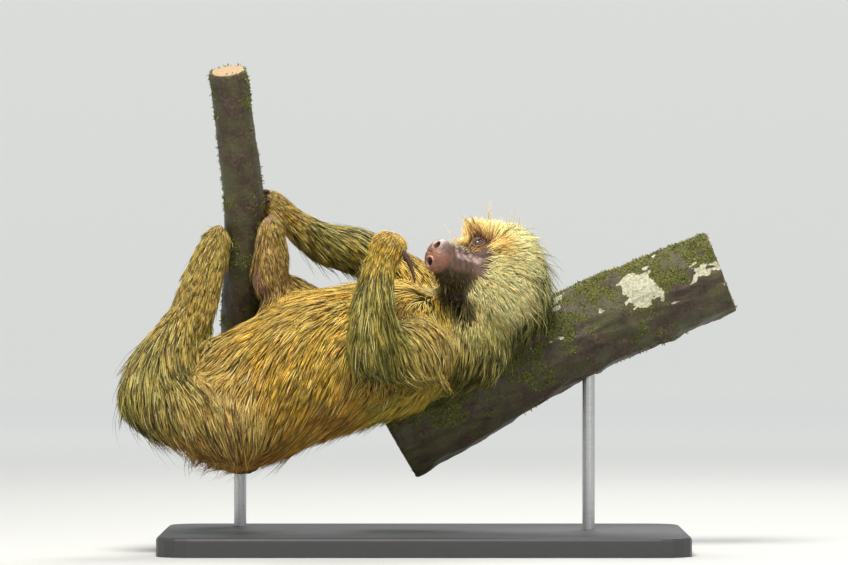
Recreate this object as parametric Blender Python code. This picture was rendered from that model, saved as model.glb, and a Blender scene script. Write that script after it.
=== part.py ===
"""Life-size model of a two-toed sloth that lies on its back across a mossy limb.

Its feet and right hand hold a thin upright branch.  A flat base and two rods carry
both pieces of wood.  Metres, +Z up, +X towards the head, -Y towards the near side.
The origin is in the underside of the base.  Furred forms reach the tips of the coat.
"""
from math import acos, atan2, cos, pi, radians, sin

import bmesh
import bpy
from mathutils import Vector

# Clearance between neighbouring solids.
GAP = 0.0004

# Stand.
BASE_SIZE = Vector((0.500, 0.300, 0.018))
BASE_CENTRE = Vector((0.0, 0.030, 0.009))
BASE_CORNER = 0.030
BASE_EDGE = 0.003
ROD_RADIUS = 0.006
ROD_SOCKET = 0.010
ROD_BRANCH_TOP = Vector((-0.179, 0.126, 0.104))
ROD_LIMB_TOP = Vector((0.158, 0.055, 0.196))

# Head: the point between the eyes, and the way the snout and the crown point.
BROW = Vector((0.040, -0.021, 0.2666))
SNOUT = Vector((-0.554, -0.784, 0.280)).normalized()
CROWN_HINT = Vector((0.729, -0.620, -0.291))
CROWN = (CROWN_HINT - SNOUT * SNOUT.dot(CROWN_HINT)).normalized()
LEFT = CROWN.cross(SNOUT)
SNOUT_LENGTH = 0.055
EYE_RADIUS = 0.0065
EYE_SPACING = 0.052
EAR_SPACING = 0.113
CHEEK_SPACING = 0.082

# Joint centres of the limbs; "left" is the side nearer to -Y.
SHOULDER = {"left": Vector((0.000, -0.060, 0.193)), "right": Vector((-0.002, 0.050, 0.243))}
ELBOW = {"left": Vector((-0.050, -0.103, 0.186)), "right": Vector((-0.064, 0.050, 0.288))}
WRIST = {"left": Vector((-0.040, -0.088, 0.278)), "right": Vector((-0.134, 0.022, 0.320))}
HIP = {"left": Vector((-0.172, -0.052, 0.126)), "right": Vector((-0.172, 0.050, 0.152))}
KNEE = {"left": Vector((-0.262, -0.056, 0.143)), "right": Vector((-0.094, 0.088, 0.212))}
ANKLE = {"left": Vector((-0.226, -0.014, 0.218)), "right": Vector((-0.138, 0.018, 0.250))}

# Axis of the upright branch, from its lower end to its upper one, with its radius.
BRANCH = [
    (Vector((-0.179, 0.132, 0.077)), 0.0210),
    (Vector((-0.177, 0.095, 0.143)), 0.0205),
    (Vector((-0.1755, 0.055, 0.210)), 0.0200),
    (Vector((-0.173, 0.025, 0.267)), 0.0195),
    (Vector((-0.171, -0.005, 0.333)), 0.0195),
    (Vector((-0.178, -0.030, 0.400)), 0.0185),
    (Vector((-0.185, -0.048, 0.455)), 0.0180),
]
# Axis of the mossy limb under the shoulders and the head, with its radius.
LIMB = [
    (Vector((-0.030, 0.057, 0.107)), 0.0450),
    (Vector((0.0485, 0.057, 0.152)), 0.0460),
    (Vector((0.115, 0.056, 0.191)), 0.0440),
    (Vector((0.215, 0.053, 0.2365)), 0.0420),
    (Vector((0.286, 0.050, 0.265)), 0.0410),
]
GRIP_CLEARANCE = 0.0052
CLAW_RADIUS = 0.0032
# Claws that hang free from the left hand: first root, step to the next, way ahead, way they
# bend, length, and angle of their arc.
HANGING_ROOT = Vector((-0.029, -0.099, 0.2935))
HANGING_STEP = Vector((0.0, 0.011, -0.002))
HANGING_AHEAD = Vector((0.80, 0.0, -0.60))
HANGING_INWARDS = Vector((-0.60, 0.0, -0.80))
HANGING_LENGTH = 0.043
HANGING_TURN = radians(48)
# Claws round the branch: lowest claw's height, step to the next, rise along the claw, and
# start and turn in degrees.
GRIPS = {
    "hand_right": (2, 0.3305, 0.0090, 0.004, -5, 150),
    "foot_left": (3, 0.2745, 0.0076, 0.003, 205, -135),
    "foot_right": (3, 0.2995, 0.0076, 0.003, -30, 135),
}

UP = Vector((0, 0, 1))
ACROSS = Vector((0, 1, 0))
COLOURS = {
    "coat": (0.55, 0.40, 0.20, 1),
    "bare_skin": (0.36, 0.20, 0.15, 1),
    "eye": (0.03, 0.02, 0.02, 1),
    "claw": (0.14, 0.05, 0.03, 1),
    "bark": (0.13, 0.12, 0.06, 1),
    "base": (0.10, 0.08, 0.07, 1),
    "rod": (0.60, 0.60, 0.60, 1),
}
METALS = {"rod"}
FORMS = {}


def clear_scene():
    for obj in list(bpy.data.objects):
        bpy.data.objects.remove(obj, do_unlink=True)


def material(slot):
    """The material of a slot, made once."""
    found = bpy.data.materials.get(slot)
    if found:
        return found
    made = bpy.data.materials.new(slot)
    made.use_nodes = True
    shader = made.node_tree.nodes["Principled BSDF"]
    shader.inputs["Base Color"].default_value = COLOURS[slot]
    shader.inputs["Roughness"].default_value = 0.3 if slot in ("eye", "rod", "claw") else 0.8
    shader.inputs["Metallic"].default_value = 1.0 if slot in METALS else 0.0
    return made


def add_object(name, bm, slot):
    """Turn a bmesh into a named object with one material."""
    mesh = bpy.data.meshes.new(name)
    bm.to_mesh(mesh)
    bm.free()
    mesh.materials.append(material(slot))
    obj = bpy.data.objects.new(name, mesh)
    bpy.context.collection.objects.link(obj)
    mesh.shade_smooth()
    mesh.set_sharp_from_angle(angle=radians(50))
    return obj


def along(stations, share):
    """Smooth Catmull-Rom value of a list of vectors or numbers at a share of its length."""
    last = len(stations) - 1
    place = min(max(share, 0.0), 1.0) * last
    step = min(int(place), last - 1)
    t = place - step
    a = stations[max(step - 1, 0)]
    b = stations[step]
    c = stations[step + 1]
    d = stations[min(step + 2, last)]
    return 0.5 * (b * 2.0 + (c - a) * t + (a * 2.0 - b * 5.0 + c * 4.0 - d) * t ** 2
                  + (b * 3.0 - a - c * 3.0 + d) * t ** 3)


def sweep(bm, stations, heading, domes, roundness, grow):
    """Lay a unit ball or post, whose axis is Z, along stations of centre, width and height."""
    centres = [station[0] for station in stations]
    widths = [station[1] for station in stations]
    heights = [station[-1] for station in stations]
    for vert in bm.verts:
        if domes:
            share = acos(max(-1.0, min(1.0, -vert.co.z))) / pi
            place = (share - domes) / (1.0 - 2.0 * domes)
            overrun = max(domes - share, share - 1.0 + domes, 0.0) / domes
        else:
            place = (vert.co.z + 1.0) / 2.0
            overrun = 0.0
        place = min(max(place, 0.0), 1.0)
        tangent = (along(centres, place + 0.01) - along(centres, place - 0.01)).normalized()
        side = heading.cross(tangent).normalized()
        over = tangent.cross(side)
        width = along(widths, place) + grow
        height = along(heights, place) + grow
        bulge = 0.5 * (width + height) * roundness * sin(overrun * pi / 2)
        if not domes:
            bulge = grow if place in (0.0, 1.0) else 0.0
        outwards = -1.0 if place < 0.5 else 1.0
        spread = cos(overrun * pi / 2)
        angle = atan2(vert.co.y, vert.co.x)
        if Vector((vert.co.x, vert.co.y)).length < 1e-5:
            spread = 0.0
        vert.co = (along(centres, place) + tangent * bulge * outwards
                   + side * cos(angle) * width * spread + over * sin(angle) * height * spread)


def furred_form(stations, sides=12, rings=8, heading=ACROSS, roundness=0.8):
    """Maker of a rounded closed form along stations of centre, half width and half height."""
    def make(grow):
        bm = bmesh.new()
        bmesh.ops.create_uvsphere(bm, u_segments=sides, v_segments=rings, radius=1.0)
        sweep(bm, stations, heading, 2.0 / rings, roundness, grow)
        return bm
    return make


def cut_wood(stations, sides, rings, heading):
    """Maker of a length of wood with flat sawn ends."""
    def make(grow):
        bm = bmesh.new()
        bmesh.ops.create_cone(bm, cap_ends=True, segments=sides, radius1=1.0, radius2=1.0, depth=2.0)
        lengthways = [e for e in bm.edges if abs(e.verts[0].co.z - e.verts[1].co.z) > 1.0]
        bmesh.ops.subdivide_edges(bm, edges=lengthways, cuts=rings - 1)
        sweep(bm, stations, heading, 0.0, 0.0, grow)
        return bm
    return make


def rod(top):
    """Maker of an upright rod that stands in the base and ends inside the wood."""
    def make(grow):
        bm = bmesh.new()
        foot = BASE_SIZE.z - ROD_SOCKET - grow
        bmesh.ops.create_cone(bm, cap_ends=True, segments=16, radius1=ROD_RADIUS + grow,
                              radius2=ROD_RADIUS + grow, depth=top.z + grow - foot)
        bmesh.ops.translate(bm, verts=bm.verts, vec=(top.x, top.y, (top.z + grow + foot) / 2))
        return bm
    return make


def base_slab(grow):
    """Flat base with round corners and eased edges."""
    bm = bmesh.new()
    bmesh.ops.create_cube(bm, size=1.0)
    bmesh.ops.scale(bm, verts=bm.verts, vec=BASE_SIZE + Vector((grow, grow, grow)) * 2)
    bmesh.ops.translate(bm, verts=bm.verts, vec=BASE_CENTRE)
    uprights = [e for e in bm.edges if abs(e.verts[0].co.z - e.verts[1].co.z) > BASE_SIZE.z / 2]
    bmesh.ops.bevel(bm, geom=uprights, offset=BASE_CORNER, segments=4, profile=0.5, affect="EDGES")
    rim = [e for e in bm.edges if min(v.co.z for v in e.verts) > BASE_SIZE.z - 1e-5]
    bmesh.ops.bevel(bm, geom=rim, offset=BASE_EDGE, segments=2, profile=0.5, affect="EDGES")
    return bm


def head_point(forward, up=0.0, left=0.0):
    """A point given along the snout, the crown and the left of the head."""
    return BROW + SNOUT * forward + CROWN * up + LEFT * left


def head_form(stations, **settings):
    """Furred form along the snout; each station is forward, up, half width, half height."""
    return furred_form([(head_point(s, u), w, h) for s, u, w, h in stations], heading=CROWN, **settings)


def ball(centre, sizes, segments=14, rings=10):
    """Maker of an ellipsoid turned with the head; sizes run along left, crown and snout."""
    def make(grow):
        bm = bmesh.new()
        bmesh.ops.create_uvsphere(bm, u_segments=segments, v_segments=rings, radius=1.0)
        for vert in bm.verts:
            x, y, z = (vert.co[i] * (sizes[i] + grow) for i in range(3))
            # Left, crown and snout make a right-handed set, so the faces stay outwards.
            vert.co = centre + LEFT * x + CROWN * y + SNOUT * z
        return bm
    return make


def claw(points, root=CLAW_RADIUS, heading=UP):
    """Maker of a hooked claw that narrows from its root to a blunt tip."""
    last = len(points) - 1
    stations = [(p, root * (1.0 - 0.72 * (i / last) ** 1.5)) for i, p in enumerate(points)]
    return furred_form(stations, sides=6, rings=8, heading=heading, roundness=0.9)


def hanging_arc(root, ahead, inwards, length, turn, steps=5):
    """Points of an arc that leaves its root along ahead and bends inwards."""
    radius = length / turn
    angles = [turn * i / steps for i in range(steps + 1)]
    return [root + ahead * radius * sin(a) + inwards * radius * (1 - cos(a)) for a in angles]


def branch_at(height):
    """Axis point and radius of the upright branch at a height."""
    share = 0.0
    while share < 1.0 and along([p for p, r in BRANCH], share).z < height:
        share += 0.002
    return along([p for p, r in BRANCH], share), along([r for p, r in BRANCH], share)


def gripping_arc(height, start, turn, rise, steps=6):
    """Points of an arc round the branch: start and turn in degrees, 0 at +X and 90 at +Y."""
    points = []
    for i in range(steps + 1):
        angle = radians(start + turn * i / steps)
        centre, radius = branch_at(height + rise * i / steps)
        reach = radius + GRIP_CLEARANCE
        points.append(centre + Vector((cos(angle), sin(angle), 0)) * reach)
    return points


def add_part(name, make, slot, clear_of=()):
    """Add a part, with a Boolean that cuts it clear of each earlier part it meets."""
    obj = add_object(name, make(0.0), slot)
    for other in clear_of:
        cutter = add_object(f"cutter_{name}_{other}", FORMS[other](GAP), slot)
        cutter.hide_render = True
        cutter.display_type = "WIRE"
        trim = obj.modifiers.new(f"clear of {other}", "BOOLEAN")
        trim.operation = "DIFFERENCE"
        trim.solver = "EXACT"
        trim.object = cutter
    FORMS[name] = make


def add_stand_and_perch():
    add_part("stand_rod_branch", rod(ROD_BRANCH_TOP), "rod")
    add_part("stand_rod_limb", rod(ROD_LIMB_TOP), "rod")
    add_part("stand_base", base_slab, "base", ("stand_rod_branch", "stand_rod_limb"))
    add_part("perch_limb", cut_wood(LIMB, 16, 8, ACROSS), "bark", ("stand_rod_limb",))
    add_part("perch_branch", cut_wood(BRANCH, 12, 12, Vector((1, 0, 0))), "bark", ("stand_rod_branch",))


def claws(limb_end, count):
    """Names of the claws of a hand or a foot."""
    return tuple(f"claw_{limb_end}_{i + 1}" for i in range(count))


def add_claws():
    """Two claws on each hand and three on each foot."""
    for i, name in enumerate(claws("hand_left", 2)):
        arc = hanging_arc(HANGING_ROOT + HANGING_STEP * i, HANGING_AHEAD, HANGING_INWARDS,
                          HANGING_LENGTH, HANGING_TURN)
        add_part(name, claw(arc, heading=ACROSS), "claw")
    for limb_end, (count, height, step, rise, start, turn) in GRIPS.items():
        for i, name in enumerate(claws(limb_end, count)):
            add_part(name, claw(gripping_arc(height + step * i, start, turn, rise)), "claw")


def add_head():
    for side, sign in (("left", 1), ("right", -1)):
        eye = head_point(0.0030, 0.003, sign * EYE_SPACING / 2)
        add_part(f"eye_{side}", ball(eye, (EYE_RADIUS, EYE_RADIUS, EYE_RADIUS), 10, 8), "eye")
        ear = head_point(-0.034, 0.022, sign * EAR_SPACING / 2)
        add_part(f"ear_{side}", ball(ear, (0.006, 0.012, 0.011), 10, 6), "coat")
    add_part("nose", ball(head_point(SNOUT_LENGTH - 0.008), (0.0162, 0.0120, 0.0090), 14, 8), "bare_skin")
    muzzle = [(-0.006, -0.005, 0.0215, 0.0200), (0.012, -0.003, 0.0200, 0.0175),
              (0.030, -0.001, 0.0175, 0.0150), (0.043, 0.000, 0.0155, 0.0125)]
    add_part("muzzle", head_form(muzzle, sides=12, rings=8, roundness=0.30), "bare_skin",
             ("nose", "eye_left", "eye_right"))
    jaw = [(-0.014, -0.019, 0.0190, 0.0120), (0.010, -0.018, 0.0150, 0.0090),
           (0.034, -0.015, 0.0105, 0.0065)]
    add_part("jaw", head_form(jaw, sides=10, rings=8, roundness=0.6), "bare_skin", ("nose", "muzzle"))
    head = [(-0.062, 0.0120, 0.051, 0.046), (-0.040, 0.0080, 0.065, 0.054), (-0.019, 0.0040, 0.062, 0.049),
            (-0.006, 0.0015, 0.047, 0.037), (0.002, 0.0000, 0.030, 0.025)]
    add_part("head", head_form(head, sides=18, rings=10, roundness=0.40), "coat",
             ("eye_left", "eye_right", "ear_left", "ear_right", "muzzle", "jaw", "perch_limb"))


def add_trunk():
    belly = [(Vector((-0.058, 0.000, 0.188)), 0.077, 0.081), (Vector((-0.095, -0.002, 0.179)), 0.080, 0.088),
             (Vector((-0.135, -0.004, 0.163)), 0.078, 0.085)]
    chest = [(Vector((0.000, 0.003, 0.199)), 0.068, 0.067), (Vector((-0.030, 0.002, 0.194)), 0.075, 0.077),
             (Vector((-0.058, 0.000, 0.188)), 0.077, 0.081)]
    hips = [(Vector((-0.120, -0.004, 0.168)), 0.074, 0.078), (Vector((-0.150, -0.005, 0.153)), 0.076, 0.079),
            (Vector((-0.185, -0.006, 0.130)), 0.068, 0.072)]
    neck = [(Vector((0.012, 0.001, 0.197)), 0.053, 0.049), (Vector((0.038, 0.004, 0.199)), 0.055, 0.052),
            (Vector((0.068, 0.006, 0.205)), 0.052, 0.051)]
    add_part("belly", furred_form(belly, 18, 8, ACROSS, 0.20), "coat",
             ("perch_limb", "perch_branch", "upper_arm_left", "forearm_left"))
    add_part("chest", furred_form(chest, 18, 8, ACROSS, 0.60), "coat",
             ("perch_limb", "upper_arm_left", "forearm_left", "head", "jaw", "belly"))
    add_part("hips", furred_form(hips, 18, 8, ACROSS, 0.80), "coat", ("perch_branch", "belly"))
    add_part("neck", furred_form(neck, 16, 8, ACROSS, 0.50), "coat",
             ("perch_limb", "upper_arm_left", "head", "jaw", "muzzle", "eye_left", "ear_left", "chest"))


def add_cheeks():
    """Tufts beside the snout; the left one lies against the throat."""
    for side, sign in (("left", 1), ("right", -1)):
        cheek = head_point(0.003, -0.010, sign * CHEEK_SPACING / 2)
        throat = ("neck", "chest") if side == "left" else ()
        add_part(f"cheek_{side}", ball(cheek, (0.0155, 0.0200, 0.0180), 10, 6), "coat",
                 ("head", "muzzle", "jaw", f"eye_{side}") + throat)


def limb(start, end, radii, bend=Vector((0, 0, 0))):
    """Stations of a limb segment that bows out by bend at its middle."""
    points = (start, (start + end) / 2 + bend, end)
    return list(zip(points, radii))


def add_left_arm():
    hand_left = [(Vector((-0.041, -0.089, 0.2865)), 0.0165), (Vector((-0.031, -0.0915, 0.2890)), 0.0165),
                 (Vector((-0.021, -0.0935, 0.2870)), 0.0120)]
    forearm_left = limb(ELBOW["left"], WRIST["left"], (0.0260, 0.0235, 0.0185), Vector((-0.003, -0.003, 0)))
    upper_arm_end = SHOULDER["left"].lerp(ELBOW["left"], 0.80)
    upper_arm_left = limb(SHOULDER["left"], upper_arm_end, (0.0400, 0.0350, 0.0260))
    add_part("hand_left", furred_form(hand_left, roundness=0.6), "coat", claws("hand_left", 2))
    add_part("forearm_left", furred_form(forearm_left), "coat", ("hand_left",))
    add_part("upper_arm_left", furred_form(upper_arm_left, heading=UP, roundness=0.7), "coat",
             ("forearm_left",))


def add_right_arm():
    hand_right = [(WRIST["right"], 0.0165), (Vector((-0.144, 0.018, 0.3290)), 0.0150),
                  (Vector((-0.153, 0.014, 0.3360)), 0.0125)]
    forearm_right = limb(ELBOW["right"], WRIST["right"], (0.0255, 0.0225, 0.0165), Vector((0, 0, -0.010)))
    upper_arm_right = limb(SHOULDER["right"], ELBOW["right"], (0.0360, 0.0320, 0.0260))
    add_part("hand_right", furred_form(hand_right), "coat",
             claws("hand_right", 2) + claws("foot_right", 3)[2:] + ("perch_branch",))
    add_part("forearm_right", furred_form(forearm_right), "coat", ("hand_right",))
    add_part("upper_arm_right", furred_form(upper_arm_right, roundness=0.7), "coat",
             ("chest", "belly", "neck", "head", "forearm_right"))


def add_legs():
    foot_left = [(Vector((-0.222, -0.014, 0.216)), 0.0235), (Vector((-0.211, -0.010, 0.252)), 0.0215),
                 (Vector((-0.202, -0.007, 0.282)), 0.0180), (Vector((-0.191, -0.009, 0.307)), 0.0130)]
    foot_right = [(Vector((-0.154, 0.004, 0.250)), 0.0170), (Vector((-0.146, 0.000, 0.268)), 0.0220),
                  (Vector((-0.1465, -0.002, 0.292)), 0.0180), (Vector((-0.149, -0.006, 0.313)), 0.0125)]
    shank_left = limb(KNEE["left"], ANKLE["left"], (0.0330, 0.0310, 0.0245), Vector((-0.004, 0, 0)))
    thigh_left = limb(HIP["left"], KNEE["left"], (0.0480, 0.0420, 0.0340), Vector((0, -0.004, 0)))
    shank_right = limb(KNEE["right"], ANKLE["right"], (0.0300, 0.0260, 0.0215), Vector((0, 0, 0.004)))
    thigh_right = limb(HIP["right"], KNEE["right"], (0.0450, 0.0400, 0.0310), Vector((0, 0.006, 0)))
    add_part("foot_left", furred_form(foot_left, roundness=0.7), "coat",
             claws("foot_left", 3) + ("perch_branch",))
    add_part("foot_right", furred_form(foot_right, roundness=0.7), "coat",
             claws("foot_right", 3) + ("perch_branch", "belly"))
    add_part("shank_left", furred_form(shank_left, roundness=0.7), "coat", ("foot_left", "hips"))
    add_part("thigh_left", furred_form(thigh_left, roundness=0.7), "coat", ("hips", "belly", "shank_left"))
    add_part("shank_right", furred_form(shank_right, roundness=0.7), "coat",
             ("foot_right", "belly", "chest", "perch_branch"))
    add_part("thigh_right", furred_form(thigh_right, roundness=0.7), "coat",
             ("hips", "belly", "shank_right", "perch_branch"))


def main():
    clear_scene()
    add_stand_and_perch()
    add_claws()
    add_head()
    add_left_arm()
    add_trunk()
    add_cheeks()
    add_right_arm()
    add_legs()


main()
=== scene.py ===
"""Looks of the two-toed sloth, its perch and its stand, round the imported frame."""
import math

import bmesh
import bpy
import numpy as np
import openvdb
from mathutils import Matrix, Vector
from mathutils.bvhtree import BVHTree
from mathutils.kdtree import KDTree


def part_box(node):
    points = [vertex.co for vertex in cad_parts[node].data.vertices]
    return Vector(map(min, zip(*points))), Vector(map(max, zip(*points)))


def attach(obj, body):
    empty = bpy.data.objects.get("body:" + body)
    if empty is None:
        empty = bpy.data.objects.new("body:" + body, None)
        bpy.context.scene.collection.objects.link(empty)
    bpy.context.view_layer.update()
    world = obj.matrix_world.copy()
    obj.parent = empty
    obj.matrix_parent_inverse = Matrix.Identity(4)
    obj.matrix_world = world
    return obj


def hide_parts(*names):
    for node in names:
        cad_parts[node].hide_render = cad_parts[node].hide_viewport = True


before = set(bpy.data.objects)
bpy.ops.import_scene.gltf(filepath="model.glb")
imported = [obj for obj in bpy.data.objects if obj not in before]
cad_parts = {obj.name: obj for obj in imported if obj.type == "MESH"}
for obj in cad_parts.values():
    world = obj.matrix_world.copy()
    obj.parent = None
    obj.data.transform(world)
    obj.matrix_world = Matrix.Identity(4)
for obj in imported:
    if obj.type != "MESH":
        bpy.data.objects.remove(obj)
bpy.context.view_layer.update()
rng = np.random.default_rng(11)

# ---------------------------------------------------------------- frame values
DOWN = np.array([0.0, 0.0, -1.0])


def node_points(node):
    """Vertices of a CAD node as rows of a matrix."""
    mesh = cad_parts[node].data
    flat = np.empty(len(mesh.vertices) * 3)
    mesh.vertices.foreach_get("co", flat)
    return flat.reshape(-1, 3)


def centre(node):
    """Middle of a CAD node's box."""
    low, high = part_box(node)
    return (np.array(low) + np.array(high)) / 2


def unit(rows):
    """Rows scaled to length one."""
    rows = np.asarray(rows, dtype=float)
    return rows / np.maximum(np.linalg.norm(rows, axis=-1, keepdims=True), 1e-12)


def dot(a, b):
    return np.sum(a * b, axis=-1)


EYE = {side: centre(f"eye_{side}") for side in ("left", "right")}
LEFT = unit(EYE["left"] - EYE["right"])
EYE_LINE = (EYE["left"] + EYE["right"]) / 2
NOSE = centre("nose")
SNOUT = NOSE - EYE_LINE
SNOUT = unit(SNOUT - LEFT * dot(SNOUT, LEFT))
CROWN = np.cross(SNOUT, LEFT)
HEAD_AXES = np.array([SNOUT, CROWN, LEFT])
EYE_RADIUS = 0.0064
SLIT_HEIGHT = {"left": 0.0032, "right": 0.0013}
SLIT_HALF = 0.0052


def to_head(points):
    """World points as forward, up and left of the middle of the eyes."""
    return (points - EYE_LINE) @ HEAD_AXES.T


def from_head(points):
    return np.asarray(points) @ HEAD_AXES + EYE_LINE


def smooth_step(low, high, value):
    t = np.clip((value - low) / (high - low), 0.0, 1.0)
    return t * t * (3 - 2 * t)


def mix(a, b, t):
    """Blend of numbers, or of rows of three, by a share for each row."""
    a, b, t = np.asarray(a, dtype=float), np.asarray(b, dtype=float), np.asarray(t, dtype=float)
    rows = a.ndim == 2 or b.ndim == 2 or a.shape == (3,) or b.shape == (3,)
    if t.ndim == 1 and rows:
        t = t[:, None]
    return a * (1 - t) + b * t


LATTICE = rng.random((32, 32, 32))


def value_noise(points, scale):
    """Smooth noise from 0 to 1 over points, with cells of the given size in metres."""
    p = points / scale + 100.0
    cell = np.floor(p).astype(int)
    f = p - cell
    f = f * f * (3 - 2 * f)
    total = 0.0
    for dx in (0, 1):
        for dy in (0, 1):
            for dz in (0, 1):
                weight = (np.abs(1 - dx - f[:, 0]) * np.abs(1 - dy - f[:, 1]) * np.abs(1 - dz - f[:, 2]))
                total = total + weight * LATTICE[(cell[:, 0] + dx) % 32, (cell[:, 1] + dy) % 32,
                                                 (cell[:, 2] + dz) % 32]
    return total


# ---------------------------------------------------------------- coat by region
# Colours of the hair, linear.
GOLD = (0.73, 0.46, 0.058)
OCHRE = (0.50, 0.375, 0.036)
CREAM = (1.00, 0.88, 0.41)
STRAW = (0.93, 0.60, 0.150)
OLIVE = (0.145, 0.132, 0.018)
KHAKI = (0.40, 0.325, 0.060)
UMBER = (0.050, 0.026, 0.012)
GINGER = (0.44, 0.195, 0.030)
TAN = (0.53, 0.355, 0.078)
SAGE = (0.37, 0.36, 0.088)
RUST = (0.30, 0.115, 0.025)
DEEP_OLIVE = (0.048, 0.055, 0.010)
SOLE_HAIR = (0.44, 0.24, 0.13)

# Each row: coat depth, hair length, share of gravity, node the hair runs from and to, two colours.
COAT = {
    "head": (0.0130, 0.034, 0.30, None, None, CREAM, SAGE),
    "ear_left": (0.0060, 0.016, 0.30, None, None, SAGE, CREAM),
    "ear_right": (0.0060, 0.016, 0.30, None, None, SAGE, CREAM),
    "cheek_left": (0.0150, 0.018, 0.20, None, None, OCHRE, CREAM),
    "cheek_right": (0.0150, 0.018, 0.10, None, None, STRAW, CREAM),
    "muzzle": (0.0010, 0.004, 0.10, None, None, UMBER, GINGER),
    "nose": (0.0005, 0.002, 0.10, None, None, UMBER, GINGER),
    "jaw": (0.0020, 0.007, 0.20, None, None, UMBER, OCHRE),
    "eye_left": (0.0010, 0.004, 0.10, None, None, RUST, GINGER),
    "eye_right": (0.0010, 0.004, 0.10, None, None, RUST, GINGER),
    "neck": (0.0180, 0.036, 0.85, "head", "chest", OCHRE, OLIVE),
    "chest": (0.0180, 0.036, 0.75, "neck", "hips", GOLD, OCHRE),
    "belly": (0.0190, 0.036, 0.65, "neck", "hips", GOLD, GINGER),
    "hips": (0.0170, 0.040, 0.78, "belly", "shank_left", TAN, GINGER),
    "upper_arm_left": (0.0120, 0.040, 0.70, "belly", "upper_arm_left", TAN, KHAKI),
    "forearm_left": (0.0062, 0.034, 0.40, "hand_left", "upper_arm_left", KHAKI, OLIVE),
    "hand_left": (0.0026, 0.013, 0.30, "claw_hand_left_1", "forearm_left", GOLD, TAN),
    "upper_arm_right": (0.0110, 0.034, 0.50, "forearm_right", "neck", GOLD, TAN),
    "forearm_right": (0.0062, 0.032, 0.35, "hand_right", "upper_arm_right", KHAKI, OLIVE),
    "hand_right": (0.0026, 0.011, 0.20, "claw_hand_right_1", "forearm_right", TAN, GOLD),
    "thigh_left": (0.0120, 0.044, 0.80, "shank_left", "hips", TAN, GINGER),
    "shank_left": (0.0085, 0.042, 0.60, "foot_left", "thigh_left", KHAKI, UMBER),
    "foot_left": (0.0036, 0.022, 0.35, "claw_foot_left_3", "shank_left", TAN, KHAKI),
    "thigh_right": (0.0120, 0.040, 0.55, "shank_right", "hips", TAN, GINGER),
    "shank_right": (0.0075, 0.032, 0.50, "foot_right", "thigh_right", TAN, KHAKI),
    "foot_right": (0.0036, 0.015, 0.35, "claw_foot_right_3", "shank_right", TAN, SOLE_HAIR),
}
DEPTH, LENGTH, FIRST_COLOUR, SECOND_COLOUR = 0, 1, 5, 6
FLESH = list(COAT)
# The nodes before the neck belong to the head.
NECK = FLESH.index("neck")
CLAWS = [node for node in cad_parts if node.startswith("claw_")]
# The grid that the skin is worked out on: a cell's edge, and the cells kept on each side of the hull.
GRID = 0.0029
HALF_WIDTH = 10.0
# Swelling that merges the flesh solids, and the edges of a lock's UV patch and of the bark's mesh.
HULL_SWELL = 0.0009
PATCH = 0.003
WOOD_GRAIN = 0.0021
# Fields round the body on that grid, filled in as they are made.
SPACE = {}


def of_coat(column, owner):
    """A column of COAT for the node that owns each point."""
    return np.array([COAT[node][column] for node in FLESH])[owner]


def kind_of(node):
    """First word of a node's name, such as shank, or upper for an upper arm."""
    return node.split("_")[0]


def add_mesh(name, mesh, material):
    """Add a finished piece that rides on the body."""
    piece = bpy.data.objects.new(name, mesh)
    bpy.context.collection.objects.link(piece)
    mesh.materials.clear()
    mesh.materials.append(material)
    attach(piece, "root")
    return piece


def mesh_from(bm, name):
    mesh = bpy.data.meshes.new(name)
    bm.to_mesh(mesh)
    bm.free()
    return mesh


def modified(mesh, *changes):
    """The mesh after modifiers given as type and settings."""
    holder = bpy.data.objects.new("holder", mesh)
    bpy.context.collection.objects.link(holder)
    for kind, settings in changes:
        modifier = holder.modifiers.new(kind.lower(), kind)
        for key, value in settings.items():
            setattr(modifier, key, value)
    graph = bpy.context.evaluated_depsgraph_get()
    result = bpy.data.meshes.new_from_object(holder.evaluated_get(graph))
    bpy.data.objects.remove(holder, do_unlink=True)
    return result


def coords(mesh):
    flat = np.empty(len(mesh.vertices) * 3)
    mesh.vertices.foreach_get("co", flat)
    return flat.reshape(-1, 3)


def set_coords(mesh, points):
    mesh.vertices.foreach_set("co", np.asarray(points).ravel())
    mesh.update()


def vertex_normals(mesh):
    flat = np.empty(len(mesh.vertices) * 3)
    mesh.vertex_normals.foreach_get("vector", flat)
    return flat.reshape(-1, 3)


def edge_pairs(mesh):
    flat = np.empty(len(mesh.edges) * 2, dtype=np.int64)
    mesh.edges.foreach_get("vertices", flat)
    return flat.reshape(-1, 2)


def relax(values, edges, rounds, keep=0.0, mask=None):
    """Average values over the mesh's edges a number of rounds."""
    values = np.array(values, dtype=float)
    shape = values.shape
    values = values.reshape(len(values), -1)
    count = np.bincount(edges.ravel(), minlength=len(values)).astype(float)[:, None]
    for _ in range(rounds):
        total = np.empty_like(values)
        for k in range(values.shape[1]):
            total[:, k] = (np.bincount(edges[:, 0], values[edges[:, 1], k], len(values))
                           + np.bincount(edges[:, 1], values[edges[:, 0], k], len(values)))
        mean = total / np.maximum(count, 1)
        step = mean * (1 - keep) + values * keep
        values = step if mask is None else values + (step - values) * mask[:, None]
    return values.reshape(shape)


def merged_nodes(nodes, swell):
    """One bmesh of merged copies of CAD nodes, each swollen a little."""
    bm = bmesh.new()
    for node in nodes:
        part = bmesh.new()
        part.from_mesh(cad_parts[node].data)
        bmesh.ops.remove_doubles(part, verts=part.verts, dist=1e-5)
        part.normal_update()
        shifts = [v.normal * swell for v in part.verts]
        for vert, shift in zip(part.verts, shifts):
            vert.co += shift
        swollen = mesh_from(part, "swollen")
        bm.from_mesh(swollen)
        bpy.data.meshes.remove(swollen)
    return bm


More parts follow.
